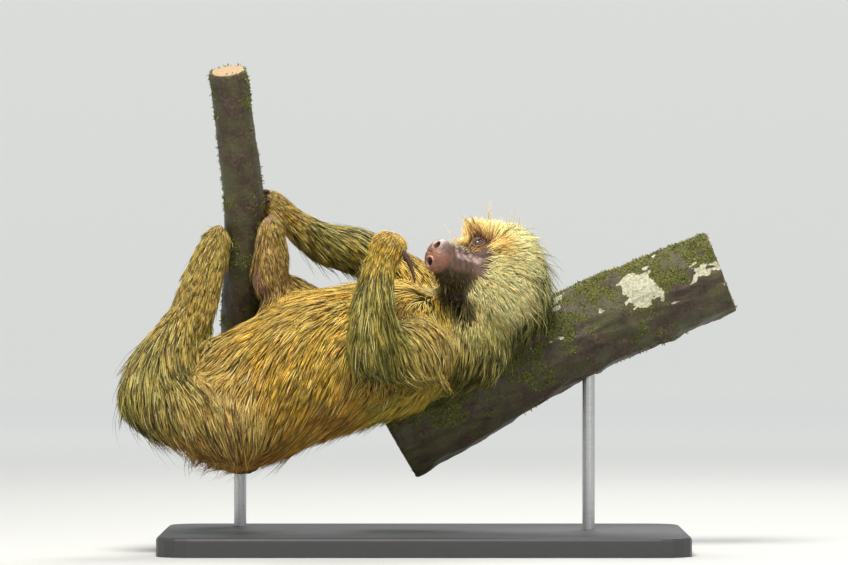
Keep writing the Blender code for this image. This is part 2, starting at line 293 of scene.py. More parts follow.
def nearest_nodes(points, nodes):
    """Index of the CAD node nearest to each point."""
    verts, faces, owner = [], [], []
    for index, node in enumerate(nodes):
        base = len(verts)
        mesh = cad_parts[node].data
        verts += [v.co.copy() for v in mesh.vertices]
        faces += [[base + i for i in p.vertices] for p in mesh.polygons]
        owner += [index] * len(mesh.polygons)
    tree = BVHTree.FromPolygons(verts, faces)
    return np.array([owner[tree.find_nearest(Vector(p))[2]] for p in points])


# ---------------------------------------------------------------- the head's form
def ellipsoid(p, middle, radii):
    q = (p - np.array(middle)) / np.array(radii)
    length = np.linalg.norm(q, axis=1)
    slope = np.linalg.norm(q / np.array(radii), axis=1)
    return (length - 1) * length / np.maximum(slope, 1e-6)


def tapered(p, start, end, width_start, width_end, squash):
    """Round-ended bar from start to end; squash is its height over its width."""
    start, end = np.array(start), np.array(end)
    axis = end - start
    t = np.clip((p - start) @ axis / (axis @ axis), 0, 1)
    off = p - (start + t[:, None] * axis)
    off = off / np.array([1.0, squash, 1.0])
    return (np.linalg.norm(off, axis=1) - (width_start + (width_end - width_start) * t)) * min(1.0, squash)


def join(a, b, blend):
    """Smooth union of two distances."""
    h = np.clip(0.5 + 0.5 * (b - a) / blend, 0, 1)
    return b * (1 - h) + a * h - blend * h * (1 - h)


def eye_axes(side):
    """Outward, lengthways and upward directions of an eye, in head axes."""
    sign = 1 if side == "left" else -1
    along = unit([-1.0, 0.10, 0.95 * sign])
    out = unit([0.62, 0.38, 0.70 * sign])
    out = unit(out - along * dot(out, along))
    up = np.cross(out, along)
    if up[1] < 0:
        up = -up
    return out, along, up


def head_surface(p):
    """Distance from the bare head, in head axes."""
    d = ellipsoid(p, (-0.036, 0.010, 0.0), (0.0385, 0.0400, 0.0430))
    for sign in (1, -1):
        d = join(d, ellipsoid(p, (-0.018, -0.010, sign * 0.024), (0.0200, 0.0170, 0.0170)), 0.012)
        d = join(d, ellipsoid(p, (-0.004, 0.0130, sign * 0.0200), (0.0085, 0.0065, 0.0120)), 0.006)
    d = join(d, tapered(p, (-0.012, -0.003, 0), (0.042, -0.0005, 0), 0.0232, 0.0150, 0.84), 0.010)
    d = join(d, tapered(p, (-0.014, -0.019, 0), (0.033, -0.0145, 0), 0.0125, 0.0085, 0.62), 0.0035)
    d = join(d, ellipsoid(p, (0.0465, 0.0005, 0), (0.0085, 0.0112, 0.0158)), 0.0035)
    for side in ("left", "right"):
        eye = to_head(EYE[side])
        d = join(d, ellipsoid(p, eye, (EYE_RADIUS + 0.0011,) * 3), 0.0040)
    return d


def shaped_head(p, rounds=7):
    """Head points moved onto the bare head."""
    step = 0.0004
    for _ in range(rounds):
        value = head_surface(p)
        slope = np.stack([head_surface(p + step * axis) - value for axis in np.eye(3)], axis=1) / step
        p = p - slope * (value / np.maximum(dot(slope, slope), 0.05))[:, None] * 0.85
    return p


NOSTRIL = np.array([0.0530, 0.0012, 0.0086])
NOSTRIL_SIZE = (0.0030, 0.0039)


def slit_gap(p, side):
    """Distance in the lid's plane from the opening between the lids, with the place on the lid."""
    eye = to_head(EYE[side])
    out, along, up = eye_axes(side)
    off = p - eye
    x, y, z = off @ along, off @ up, off @ out
    opening = SLIT_HEIGHT[side] / 2
    edge = opening * np.maximum(1 - (x / SLIT_HALF) ** 2, -0.2)
    middle = 0.0004 + 0.03 * x
    inside = (np.abs(x) < SLIT_HALF + 0.001) & (z > 0) & (np.linalg.norm(off, axis=1) < 0.012)
    return np.where(inside, np.abs(y - middle) - edge, 1.0), y - middle, off, z, up


def snapped_to_slits(p):
    """Points close to the lids' edges moved onto them."""
    p = p.copy()
    for side in EYE:
        gap, y, _, _, up = slit_gap(p, side)
        close = np.abs(gap) < 0.00022
        p[close] -= (gap * np.sign(y))[close, None] * up
    return p


def ragged(p):
    """Small uneven shift for the edges of bare skin."""
    return 0.0030 * (value_noise(p, 0.0022) - 0.5)


def fold_lids(p, normal, shift, masks):
    """Lids that close round each eye, with a thick edge and folds round them."""
    for side in EYE:
        gap, _, off, z, _ = slit_gap(p, side)
        reach = np.linalg.norm(off, axis=1)
        slit = 1 - smooth_step(0.00004, 0.00030, gap)
        shift -= unit(off) * (slit * np.maximum(reach - EYE_RADIUS + 0.0014, 0))[:, None]
        rim = np.exp(-((gap - 0.0009) / 0.0005) ** 2)
        shift += unit(off) * (rim * 0.00035)[:, None]
        flat = off - z[:, None] * eye_axes(side)[0]
        ring = np.where((z > -0.002) & (reach < 0.02), np.linalg.norm(flat * (0.9, 1, 0.9), axis=1), 1.0)
        folds = np.sin((ring - 0.0035) / 0.00105 * math.pi) * smooth_step(0.0040, 0.0052, ring)
        folds = folds * (1 - smooth_step(0.0078, 0.0105, ring))
        shift += normal * (folds * 0.00026)[:, None]
        masks["lid"] = np.maximum(masks["lid"], 1 - smooth_step(0.0036, 0.0054, ring + ragged(p)))
        # The slit between the lids is painted dark as painted shade.
        masks["dark"] = np.maximum(masks["dark"], slit)


def pierce_nostrils(p, normal, shift, masks):
    """Two nostrils with swollen, uneven rims."""
    for sign in (1, -1):
        off = p - NOSTRIL * (1, 1, sign)
        # The opening leans outwards and down, like a comma.
        y = off[:, 1] * 0.94 + off[:, 2] * sign * 0.34
        z = off[:, 2] * sign * 0.94 - off[:, 1] * 0.34
        r = np.where(p[:, 0] > 0.040, np.hypot(y / NOSTRIL_SIZE[0], z / NOSTRIL_SIZE[1]), 9.0)
        pit = 1 - smooth_step(0.62, 1.05, r)
        shift[:, 0] -= pit * 0.0052
        rim = np.exp(-((r - 1.22) / 0.20) ** 2)
        shift += normal * (rim * 0.0006)[:, None]
        uneven = 0.25 + 0.75 * smooth_step(0.35, 0.65, value_noise(p + sign, 0.0045))
        outer = 0.30 + 0.70 * smooth_step(-0.0010, 0.0030, z)
        wide = mix(0.20, 0.42, outer)
        masks["rim"] = np.maximum(masks["rim"], np.exp(-((r - 1.30) / wide) ** 2) * uneven * outer)
        # The pits are painted dark as painted shade.
        masks["dark"] = np.maximum(masks["dark"], pit)


def crease_snout(p, normal, shift, masks):
    """The groove under the nose, the mouth's line and the cross folds of the snout."""
    groove = np.exp(-(p[:, 2] / 0.0011) ** 2) * smooth_step(0.046, 0.050, p[:, 0])
    groove = groove * smooth_step(0.004, -0.002, p[:, 1])
    shift[:, 0] -= groove * 0.0010
    line = -0.0098 - 0.035 * (0.045 - p[:, 0]) + 0.9 * np.maximum(0.012 - p[:, 0], 0) ** 1.2
    mouth = np.exp(-((p[:, 1] - line) / 0.0010) ** 2) * smooth_step(0.001, 0.008, p[:, 0])
    shift -= normal * (mouth * 0.0016)[:, None]
    # The mouth's line is painted dark as painted shade in its crease.
    masks["dark"] = np.maximum(masks["dark"], mouth * 0.8)
    ridge = np.sin(p[:, 0] / 0.0042 * math.pi + 3 * np.sin(p[:, 2] / 0.006))
    ridge = ridge * smooth_step(0.008, 0.016, p[:, 0]) * (1 - smooth_step(0.036, 0.043, p[:, 0]))
    ridge = ridge * smooth_step(-0.006, 0.004, p[:, 1])
    shift += normal * (ridge * 0.00022)[:, None]


def face_detail(p, normal):
    """Lids, nostrils, mouth and folds as a shift of head points; also colour masks, with painted shade in
    recesses.
    """
    shift = np.zeros_like(p)
    masks = {key: np.zeros(len(p)) for key in ("lid", "rim", "dark")}
    for carve in (fold_lids, pierce_nostrils, crease_snout):
        carve(p, normal, shift, masks)
    return shift, masks


# ---------------------------------------------------------------- skin
def add_splats(total, weight, low, points, values):
    """Adds values to the grid cells nearest to points."""
    cell = np.clip(np.rint((points - low) / GRID).astype(int), 0, np.array(total.shape) - 1)
    index = np.ravel_multi_index(cell.T, total.shape)
    total += np.bincount(index, values, total.size).reshape(total.shape)
    weight += np.bincount(index, minlength=total.size).reshape(total.shape)


def blur(grid, rounds):
    """Average of a grid with its neighbours along each axis, over and over."""
    for _ in range(rounds):
        for axis in range(3):
            grid = (np.roll(grid, 1, axis) + grid * 2 + np.roll(grid, -1, axis)) / 4
    return grid


def depth_grid(shape, low, points, normals, depth):
    """The coat's depth carried inwards from the hull's surface to the whole grid."""
    total = np.zeros(shape)
    weight = np.zeros(shape)
    for inward in np.arange(-GRID, depth.max() + 2 * GRID, GRID):
        add_splats(total, weight, low, points - normals * inward, depth)
    wide_total, wide_weight = blur(total, 2), blur(weight, 2)
    spread_total, spread_weight = blur(wide_total, 10), blur(wide_weight, 10)
    near = wide_weight > 1e-3
    result = np.where(near, wide_total / np.maximum(wide_weight, 1e-9),
                      spread_total / np.maximum(spread_weight, 1e-9))
    return np.where(spread_weight > 1e-7, result, depth.max())


def largest_shell(points, faces):
    """The biggest connected part of a mesh given as points and faces."""
    parent = np.arange(len(points))
    edges = np.concatenate([faces[:, [i, (i + 1) % 4]] for i in range(4)])
    for _ in range(400):
        smaller = np.minimum(parent[edges[:, 0]], parent[edges[:, 1]])
        before = parent.copy()
        np.minimum.at(parent, edges[:, 0], smaller)
        np.minimum.at(parent, edges[:, 1], smaller)
        parent = parent[parent]
        if np.array_equal(before, parent):
            break
    label, count = np.unique(parent, return_counts=True)
    keep = parent == label[np.argmax(count)]
    number = np.cumsum(keep) - 1
    return points[keep], number[faces[keep[faces[:, 0]]]]


def claw_line(node):
    """Where a claw leaves its hand or foot, and a place a little further along it."""
    points = np.unique(np.round(node_points(node), 6), axis=0)
    gaps = np.linalg.norm(points[:, None] - points[None], axis=2)
    ends = np.unravel_index(np.argmax(gaps), gaps.shape)
    thick = max(ends, key=lambda end: np.sort(gaps[end])[:13].mean())
    order = np.argsort(gaps[thick])
    return points[order[:7]].mean(axis=0), points[order[13:25]].mean(axis=0)


def near_claws(points):
    """Small at the claws' roots and 1 away from them."""
    roots = np.array([claw_line(node)[0] for node in CLAWS])
    gap = np.min(np.linalg.norm(points[:, None] - roots[None], axis=2), axis=1)
    return 0.12 + 0.88 * smooth_step(0.007, 0.024, gap)


def hull_field(hull):
    """Distance from the hull on a grid, and the grid's first cell."""
    faces = np.empty(len(hull.polygons) * 4, dtype=np.int32)
    hull.polygons.foreach_get("vertices", faces)
    field = openvdb.FloatGrid.createLevelSetFromPolygons(
        coords(hull).astype(np.float32), quads=faces.reshape(-1, 4),
        transform=openvdb.createLinearTransform(voxelSize=GRID), halfWidth=HALF_WIDTH)
    first, last = field.evalActiveVoxelBoundingBox()
    first, last = np.array(first) - 2, np.array(last) + 2
    level = np.zeros(last - first + 1, dtype=np.float32)
    field.copyToArray(level, ijk=tuple(int(i) for i in first))
    return level, first


def sunk_field(hull, level, low):
    """The hull's distance sunk by the coat's depth, with the bare head joined on."""
    points, normals = coords(hull), vertex_normals(hull)
    depth = relax(of_coat(DEPTH, nearest_nodes(points, FLESH)), edge_pairs(hull), 8)
    depth = depth * near_claws(points) + HULL_SWELL
    level = level + depth_grid(level.shape, low, points, normals, depth)
    cells = np.stack(np.meshgrid(*[np.arange(n) for n in level.shape], indexing="ij"), axis=-1)
    local = to_head(cells.reshape(-1, 3) * GRID + low)
    near = np.linalg.norm(local - (-0.01, 0, 0), axis=1) < 0.10
    flat = level.reshape(-1)
    flat[near] = join(flat[near], head_surface(local[near]), 0.012)
    return blur(flat.reshape(level.shape), 1).astype(np.float32)


def make_skin():
    """One bare skin under the coat, sunk by the coat's depth, with the head's own form."""
    bm = merged_nodes(FLESH, HULL_SWELL)
    hull = modified(mesh_from(bm, "hull"), ("REMESH", {"mode": "VOXEL", "voxel_size": GRID}))
    set_coords(hull, relax(coords(hull), edge_pairs(hull), 3))
    SPACE["hull"], first = hull_field(hull)
    SPACE["low"] = first * GRID
    SPACE["skin"] = sunk_field(hull, SPACE["hull"], SPACE["low"])
    sunk = openvdb.FloatGrid(HALF_WIDTH * GRID)
    sunk.transform = openvdb.createLinearTransform(voxelSize=GRID)
    sunk.copyFromArray(SPACE["skin"], ijk=tuple(int(i) for i in first))
    points, quads = sunk.convertToQuads(0.0)
    points, quads = largest_shell(points.astype(float), quads.astype(np.int64))
    mesh = bpy.data.meshes.new("skin")
    mesh.from_pydata(points.tolist(), [], quads[:, ::-1].tolist())
    mesh.update()
    if volume(mesh) < 0:
        mesh.flip_normals()
    set_coords(mesh, relax(coords(mesh), edge_pairs(mesh), 4))
    unwrap(mesh)
    return refine_face(mesh)


def volume(mesh):
    bm = bmesh.new()
    bm.from_mesh(mesh)
    result = bm.calc_volume(signed=True)
    bm.free()
    return result


def unwrap(mesh):
    """Unwrap the skin by its own shape."""
    holder = bpy.data.objects.new("unwrap", mesh)
    bpy.context.collection.objects.link(holder)
    bpy.context.view_layer.objects.active = holder
    holder.select_set(True)
    bpy.ops.object.mode_set(mode="EDIT")
    bpy.ops.mesh.select_all(action="SELECT")
    bpy.ops.uv.smart_project(angle_limit=math.radians(72), island_margin=0.002)
    bpy.ops.object.mode_set(mode="OBJECT")
    mesh.uv_layers[0].name = "OFBake"
    bpy.data.objects.remove(holder, do_unlink=True)


def face_zone(local, fineness):
    """Which head points lie where the mesh is split a first, second or third time."""
    side = np.hypot(local[:, 1], local[:, 2])
    on_head = np.abs(head_surface(local)) < 0.0030
    if fineness == 0:
        return on_head & (local[:, 0] > -0.024) & (side < 0.050)
    if fineness == 1:
        return on_head & (local[:, 0] > -0.014) & (side < 0.038)
    eyes = [np.linalg.norm(local - to_head(EYE[s]), axis=1) for s in EYE]
    return on_head & ((np.minimum(*eyes) < 0.0125) | (local[:, 0] > 0.042))


def head_weight(local):
    """How far the skin is drawn onto the head's own form."""
    away = np.abs(head_surface(local))
    return (1 - smooth_step(0.0008, 0.0028, away)) * smooth_step(-0.030, -0.016, local[:, 0])


def head_places(bm):
    """A bmesh's vertices in head axes."""
    return to_head(np.array([v.co[:] for v in bm.verts]))


def split_face(bm):
    """Split the face three times, ever nearer to the eyes and nose, onto the head's own form."""
    for fineness in range(3):
        near = face_zone(head_places(bm), fineness)
        bm.verts.index_update()
        bm.verts.ensure_lookup_table()
        split = [e for e in bm.edges if near[e.verts[0].index] and near[e.verts[1].index]]
        bmesh.ops.subdivide_edges(bm, edges=split, cuts=1, use_grid_fill=True, smooth=0.0)
        bmesh.ops.triangulate(bm, faces=[f for f in bm.faces if len(f.verts) > 4])
        bm.verts.ensure_lookup_table()
        local = head_places(bm)
        weight = head_weight(local)
        near = weight > 0
        local[near] = mix(local[near], shaped_head(local[near], 3), weight[near])
        world = from_head(local)
        for index in np.flatnonzero(near):
            bm.verts[index].co = world[index]


def refine_face(mesh):
    """Split the face finely and carve it; also its masks at each vertex of the skin."""
    bm = bmesh.new()
    bm.from_mesh(mesh)
    split_face(bm)
    bm.to_mesh(mesh)
    bm.free()
    edges = edge_pairs(mesh)
    weight = relax(head_weight(to_head(coords(mesh))), edges, 2)
    fine = weight > 0.9
    local = to_head(relax(coords(mesh), edges, 8, keep=0.3, mask=(weight > 0.02).astype(float)))
    local[fine] = shaped_head(local[fine], 4)
    set_coords(mesh, from_head(local))
    for _ in range(2):
        local = to_head(coords(mesh))
        local[fine] = snapped_to_slits(local[fine])
        set_coords(mesh, from_head(local))
    normal = vertex_normals(mesh) @ HEAD_AXES.T
    shift, masks = face_detail(local[fine], normal[fine])
    local[fine] += shift
    set_coords(mesh, from_head(local))
    fields = {key: np.zeros(len(local)) for key in masks}
    for key in masks:
        fields[key][fine] = masks[key]
    fields["face"] = weight
    return mesh, fields


# ---------------------------------------------------------------- fields round the body
def sample(grid, points):
    """Values of a grid between its cells."""
    place = (points - SPACE["low"]) / GRID
    place = np.clip(place, 0, np.array(grid.shape[:3]) - 1.001)
    cell = place.astype(int)
    f = place - cell
    total = 0.0
    for corner in np.ndindex(2, 2, 2):
        share = np.prod(np.abs(1 - np.array(corner) - f), axis=1)
        value = grid[tuple((cell + corner).T)]
        total = total + (value * share if value.ndim == 1 else value * share[:, None])
    return total


def gradient(grid):
    return np.stack(np.gradient(grid, GRID), axis=-1).astype(np.float32)


def fill_space(points, normals, vectors):
    """Vectors on the skin spread through the space round it."""
    shape = SPACE["skin"].shape
    total = np.zeros(shape + (3,))
    weight = np.zeros(shape)
    furthest = 0.036
    for reach in np.arange(-GRID, furthest - GRID / 2, GRID):
        fade = (1 - max(reach, 0.0) / furthest) ** 3
        for axis in range(3):
            scratch = np.zeros(shape)
            layer = np.zeros(shape)
            add_splats(layer, scratch, SPACE["low"], points + normals * reach, vectors[:, axis] * fade)
            total[..., axis] += layer
        weight += scratch
    result = np.stack([blur(total[..., axis], 4) for axis in range(3)], axis=-1)
    wide = np.stack([blur(result[..., axis], 12) for axis in range(3)], axis=-1)
    return unit(result + wide * 0.02).astype(np.float32)


def perch_space():
    """Distance from the perch on the same grid as the skin."""
    bm = merged_nodes(["perch_branch", "perch_limb"], 0.0)
    bmesh.ops.triangulate(bm, faces=bm.faces)
    mesh = mesh_from(bm, "perch")
    faces = np.array([p.vertices[:] for p in mesh.polygons], dtype=np.int32)
    field = openvdb.FloatGrid.createLevelSetFromPolygons(
        coords(mesh).astype(np.float32), triangles=faces,
        transform=openvdb.createLinearTransform(voxelSize=GRID), halfWidth=HALF_WIDTH)
    level = np.zeros(SPACE["skin"].shape, dtype=np.float32)
    first = np.rint(SPACE["low"] / GRID).astype(int)
    field.copyToArray(level, ijk=tuple(int(i) for i in first))
    return level


def flow_at(points, normals, owner):
    """Which way the hair lies at each point of the skin."""
    flow = np.zeros_like(points)
    for index, node in enumerate(FLESH):
        here = owner == index
        share, start, end = COAT[node][2:5]
        if start:
            along = unit(centre(end) - centre(start))
            upright = normals[here, 2]
            share = share * smooth_step(-0.98, -0.55, upright) * (1 - 0.6 * smooth_step(0.45, 0.95, upright))
            share = share[:, None]
            flow[here] = along * (1 - share) + DOWN * share
    on_head = owner < NECK
    flow[on_head] = head_flow(to_head(points))[on_head]
    return flow


def head_flow(local):
    """The head's hair runs back from the face and out from its middle, and down at the nape."""
    radial = local * (0, 1, 1)
    radial = unit(radial) * smooth_step(0.0, 0.02, np.linalg.norm(radial, axis=1))[:, None]
    rearward = -0.75 + 0.60 * smooth_step(-0.014, 0.008, local[:, 0])
    jowl = smooth_step(-0.024, -0.034, local[:, 2]) * smooth_step(-0.022, -0.004, local[:, 0])
    jowl = (jowl * smooth_step(0.014, 0.000, local[:, 1]))[:, None]
    back = unit(radial * 0.85 + rearward[:, None] * np.eye(3)[0])
    back = unit(mix(back, unit(np.array([0.35, -0.70, -0.60])), jowl)) @ HEAD_AXES
    behind = smooth_step(0.0, -0.05, local[:, 0])[:, None]
    return back + DOWN * (0.08 + 0.34 * behind)


# ---------------------------------------------------------------- colours of skin and coat
SALMON = (0.27, 0.108, 0.062)
PAD_GREY = (0.125, 0.085, 0.072)
MAUVE = (0.120, 0.066, 0.052)
# Pale colour of the painted highlight along the snout's wet ridge.
PAINTED_RIDGE_HIGHLIGHT = (0.44, 0.32, 0.30)
DARK = (0.020, 0.010, 0.007)
RIM = (0.70, 0.54, 0.47)
LID = (0.062, 0.036, 0.032)
SOLE = (0.25, 0.125, 0.075)


def left_shade(local):
    """Painted shade: the dark left flank of the snout, which widens towards the cheek."""
    line = mix(0.000, 0.006, smooth_step(0.005, 0.035, local[:, 0]))
    return smooth_step(-0.003, 0.004, local[:, 2] - line)


def eye_ring(local, side):
    """Distance from the middle of the coloured ring round an eye."""
    middle = to_head(EYE[side]) + np.array([-0.001, 0.0026, 0.0])
    return np.linalg.norm(local - middle, axis=1) + 0.005 * (value_noise(local, 0.004) - 0.5)


def coat_tones(points, normals, owner, edges):
    """Tip and root colours of the hair for each vertex of the skin, with painted light and shade in them."""
    light = relax(of_coat(FIRST_COLOUR, owner), edges, 26)
    second = relax(of_coat(SECOND_COLOUR, owner), edges, 26)
    patch = smooth_step(0.35, 0.75, value_noise(points, 0.030) * 0.6 + value_noise(points, 0.012) * 0.4)
    # Painted shade and light: hair facing down leans to the second colour, and hair facing up turns paler.
    down = smooth_step(0.35, -0.65, normals[:, 2])
    tip = mix(light, second, np.clip(0.05 + 0.45 * patch + 0.45 * down, 0, 1))
    painted_top_light = smooth_step(0.15, 0.85, normals[:, 2]) * (0.55 + 0.45 * patch)
    tip = mix(tip, mix(light, CREAM, 0.28), 0.45 * painted_top_light)
    local = to_head(points)
    on_head = relax((owner < NECK).astype(float), edges, 6)
    # Painted shade: the neck's hair turns olive below the head.
    shade_under_head = (owner == NECK) * smooth_step(0.040, 0.085, EYE_LINE[2] - points[:, 2])
    tip = mix(tip, OLIVE, 0.55 * relax(shade_under_head, edges, 10))
    tip = mix(tip, face_tones(crown_tones(points, patch), local), on_head)
    # Roots darker than tips: partly the hair's own colour, partly painted shade deep in the coat; paler near
    # the face.
    root = tip * 0.20 + np.array(UMBER) * 0.30
    pale = on_head * smooth_step(-0.050, -0.012, local[:, 0])
    root = mix(root, tip * 0.58, pale * 0.90)
    return tip, root


def crown_tones(points, patch):
    """Hair of the head: cream over the face, sage at the back, ochre low down, olive low at the back as
    painted shade.
    """
    local = to_head(points)
    ahead, left = local[:, 0], local[:, 2]
    back = smooth_step(-0.020, -0.058, ahead)
    crown = mix(CREAM, SAGE, np.clip(0.80 * back + 0.25 * back * patch, 0, 1))
    crown = mix(crown, OCHRE, 0.45 * smooth_step(0.014, 0.034, left) * smooth_step(-0.050, -0.020, ahead))
    low = smooth_step(0.028, 0.060, EYE_LINE[2] - points[:, 2]) * smooth_step(0.0, -0.030, ahead)
    crown = mix(crown, mix(OCHRE, SAGE, 0.4 + 0.5 * back), low * 0.75)
    # Painted shade: olive low on the back of the head.
    crown = mix(crown, OLIVE, low * (0.30 + 0.40 * patch))
    near_snout = smooth_step(-0.018, 0.000, ahead)
    crown = mix(crown, OCHRE, near_snout * smooth_step(0.010, 0.030, left) * 0.20)
    right_jowl = smooth_step(-0.018, -0.004, ahead) * smooth_step(-0.018, -0.030, left)
    return mix(crown, STRAW, right_jowl * 0.85)


def face_tones(crown, local):
    """The head's colours with rings round the eyes, the snout's short hair and painted shade under the chin.
    """
    ahead, above, left = local.T
    # The left ring is umber and wider: partly the ring's own colour, partly painted shade round the left eye.
    for side, colour, wide in (("left", UMBER, 0.0190), ("right", RUST, 0.0140)):
        ring = eye_ring(local, side)
        crown = mix(crown, colour, 1 - smooth_step(wide - 0.0060, wide, ring))
        crown = mix(crown, UMBER, 0.8 * (1 - smooth_step(0.0062, 0.0095, ring)))
    snout = smooth_step(0.000, 0.010, ahead) * smooth_step(0.026, 0.020, np.hypot(above, left))
    flank = smooth_step(-0.008, -0.014, left + 0.3 * np.maximum(above, 0))
    # Short hair on the left flank is darker as painted shade.
    short = mix(mix(UMBER, GINGER, 0.4), mix(UMBER, OLIVE, 0.35), left_shade(local))
    crown = mix(crown, mix(short, STRAW, 0.85 * flank), snout)
    # Painted shade: the hair under the chin turns umber.
    under = smooth_step(-0.006, -0.018, above) * smooth_step(-0.035, -0.010, ahead)
    return mix(crown, UMBER, under * 0.75 * smooth_step(-0.020, -0.004, left))


def muzzle_tone(points, local, dorsal, shaded):
    """Mauve on top, dark below, painted shade on the left and a broken painted highlight on the wet ridge."""
    ahead, above, left = local.T
    broad = smooth_step(0.014, 0.004, np.abs(left) - 0.25 * np.maximum(above, 0))
    # The mauve fades out on the left flank as painted shade.
    muzzle = mix(mix(DARK, UMBER, 0.9), MAUVE, dorsal * (0.15 + 0.85 * broad) * (1 - 0.92 * shaded))
    middle = -mix(0.0125, 0.0080, smooth_step(0.0, 0.035, ahead))
    # Painted highlight: a pale broken streak along the ridge, where the wet skin catches the light.
    streak = np.abs(left - middle + 0.004 * (value_noise(points, 0.005) - 0.5))
    streak = smooth_step(0.0042, 0.0014, streak)
    streak = streak * smooth_step(0.000, 0.008, ahead) * smooth_step(0.038, 0.032, ahead) * dorsal
    broken = 0.45 + 0.55 * smooth_step(0.35, 0.6, value_noise(points, 0.0022))
    return mix(muzzle, PAINTED_RIDGE_HIGHLIGHT, streak * broken)


def nose_tone(local, blotch):
    """Salmon nose, blotched with grey, greyer on its sides and darker low on the left as painted shade."""
    ahead, above, left = local.T
    flank = smooth_step(0.006, 0.017, np.abs(left)) * smooth_step(0.050, 0.044, ahead)
    grey_side = smooth_step(0.002, -0.012, left) * smooth_step(-0.004, 0.006, above)
    nose = mix(SALMON, PAD_GREY, np.clip(0.60 * blotch + 0.75 * grey_side, 0, 1))
    nose = mix(nose, PAD_GREY, 0.55 * flank)
    # Painted shade: umber low on the left side of the nose.
    return mix(nose, UMBER, smooth_step(0.004, 0.014, left) * smooth_step(0.002, -0.008, above) * 0.7)


def bare_face_tone(points, fields):
    """Colour of the bare face: muzzle, nose, nostrils' rims, eye rings and lids, with painted shade on the
    left.
    """
    local = to_head(points)
    ahead, above = local[:, 0], local[:, 1]
    dorsal = smooth_step(-0.004, 0.008, above + 0.004 * (value_noise(points, 0.006) - 0.5))
    shaded = left_shade(local)
    pad = smooth_step(0.0375, 0.0425, ahead + 0.003 * (value_noise(points, 0.005) - 0.5))
    pad = pad * smooth_step(-0.011, -0.006, above)
    blotch = smooth_step(0.40, 0.72, value_noise(local, 0.0035) * 0.6 + value_noise(local, 0.0014) * 0.4)
    muzzle = muzzle_tone(points, local, dorsal, shaded)
    # The salmon blotches fade out on the left flank as painted shade.
    face = mix(mix(muzzle, SALMON, 0.22 * blotch * dorsal * (1 - shaded)), nose_tone(local, blotch), pad)
    # The nostrils' pale rims are half as pale on the left flank, as painted shade.
    face = mix(face, RIM, np.clip(fields["rim"] * 1.2, 0, 1) * (1 - 0.5 * shaded))
    # The left ring is umber: partly its own colour, partly painted shade round the left eye.
    for side, colour in (("left", UMBER), ("right", RUST)):
        ring = 1 - smooth_step(0.0085, 0.0130, eye_ring(local, side))
        face = mix(face, np.array(colour) * 0.55, ring * 0.8)
    # The left lids are darker as painted shade.
    face = mix(face, mix(LID, DARK, 0.75 * shaded), fields["lid"])
    # Painted shade: the slits between the lids, the nostrils' pits and the mouth's line are painted dark.
    return mix(face, DARK, fields["dark"])


def skin_tone(points, owner, edges, fields, root):
    """Colour of the skin: bare on face, ears, hands and feet; elsewhere root colour darkened as painted
    shade.
    """
    bare_kinds = ("muzzle", "nose", "jaw", "eye", "hand", "foot", "ear")
    bare = relax(np.array([kind_of(n) in bare_kinds for n in FLESH])[owner].astype(float), edges, 8)
    local = to_head(points)
    on_head = fields["face"] * (np.linalg.norm(local, axis=1) < 0.085)
    tone = mix(SOLE, bare_face_tone(points, fields), on_head)
    haired = 1 - np.maximum(bare, fields["lid"])
    cheek = on_head * smooth_step(0.000, -0.007, local[:, 0]) * (1 - fields["lid"])
    # Under the coat the skin takes the roots' colour, darker still as painted shade.
    return mix(tone, root * 0.8, np.clip(np.maximum(haired * (1 - on_head), cheek), 0, 1))


def bare_heel(points):
    """The leathery heel of the right foot, beside the branch."""
    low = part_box("foot_right")[0]
    heel = np.array([low[0] + 0.006, low[1] + 0.010, low[2] + 0.016])
    reach = np.linalg.norm((points - heel) * (1.0, 0.8, 0.75), axis=1)
    reach = reach + 0.006 * (value_noise(points, 0.008) - 0.5)
    return 1 - smooth_step(0.012, 0.019, reach)


# ---------------------------------------------------------------- growing the coat
def vertex_fields(mesh, fields):
    """Everything that the coat needs to know at each vertex of the skin."""
    points, normals, edges = coords(mesh), vertex_normals(mesh), edge_pairs(mesh)
    owner = nearest_nodes(points, FLESH)
    flow = flow_at(points, normals, owner)
    for _ in range(4):
        flow = flow - normals * dot(flow, normals)[:, None]
        flow = relax(flow, edges, 10)
    flow = flow - normals * dot(flow, normals)[:, None]
    data = {"points": points, "normals": normals, "owner": owner, "flow": unit(flow), **fields}
    data["calm"] = np.linalg.norm(flow, axis=1)
    data["length"] = relax(of_coat(LENGTH, owner), edges, 20)
    data["parting"] = smooth_step(12.0, 70.0, spreading(points, data["flow"], edges))
    data["heel"] = bare_heel(points)
    data["tip"], data["root"] = coat_tones(points, normals, owner, edges)
    data["tone"] = mix(skin_tone(points, owner, edges, fields, data["root"]), SOLE, data["heel"])
    return data


def spreading(points, flow, edges):
    """How fast the hair's directions part at each vertex, per metre."""
    gap = points[edges[:, 1]] - points[edges[:, 0]]
    rate = dot(flow[edges[:, 1]] - flow[edges[:, 0]], gap) / np.maximum(dot(gap, gap), 1e-9)
    total = np.bincount(edges.ravel(), np.repeat(rate, 2), len(points))
    return relax(total / np.maximum(np.bincount(edges.ravel(), minlength=len(points)), 1), edges, 12)


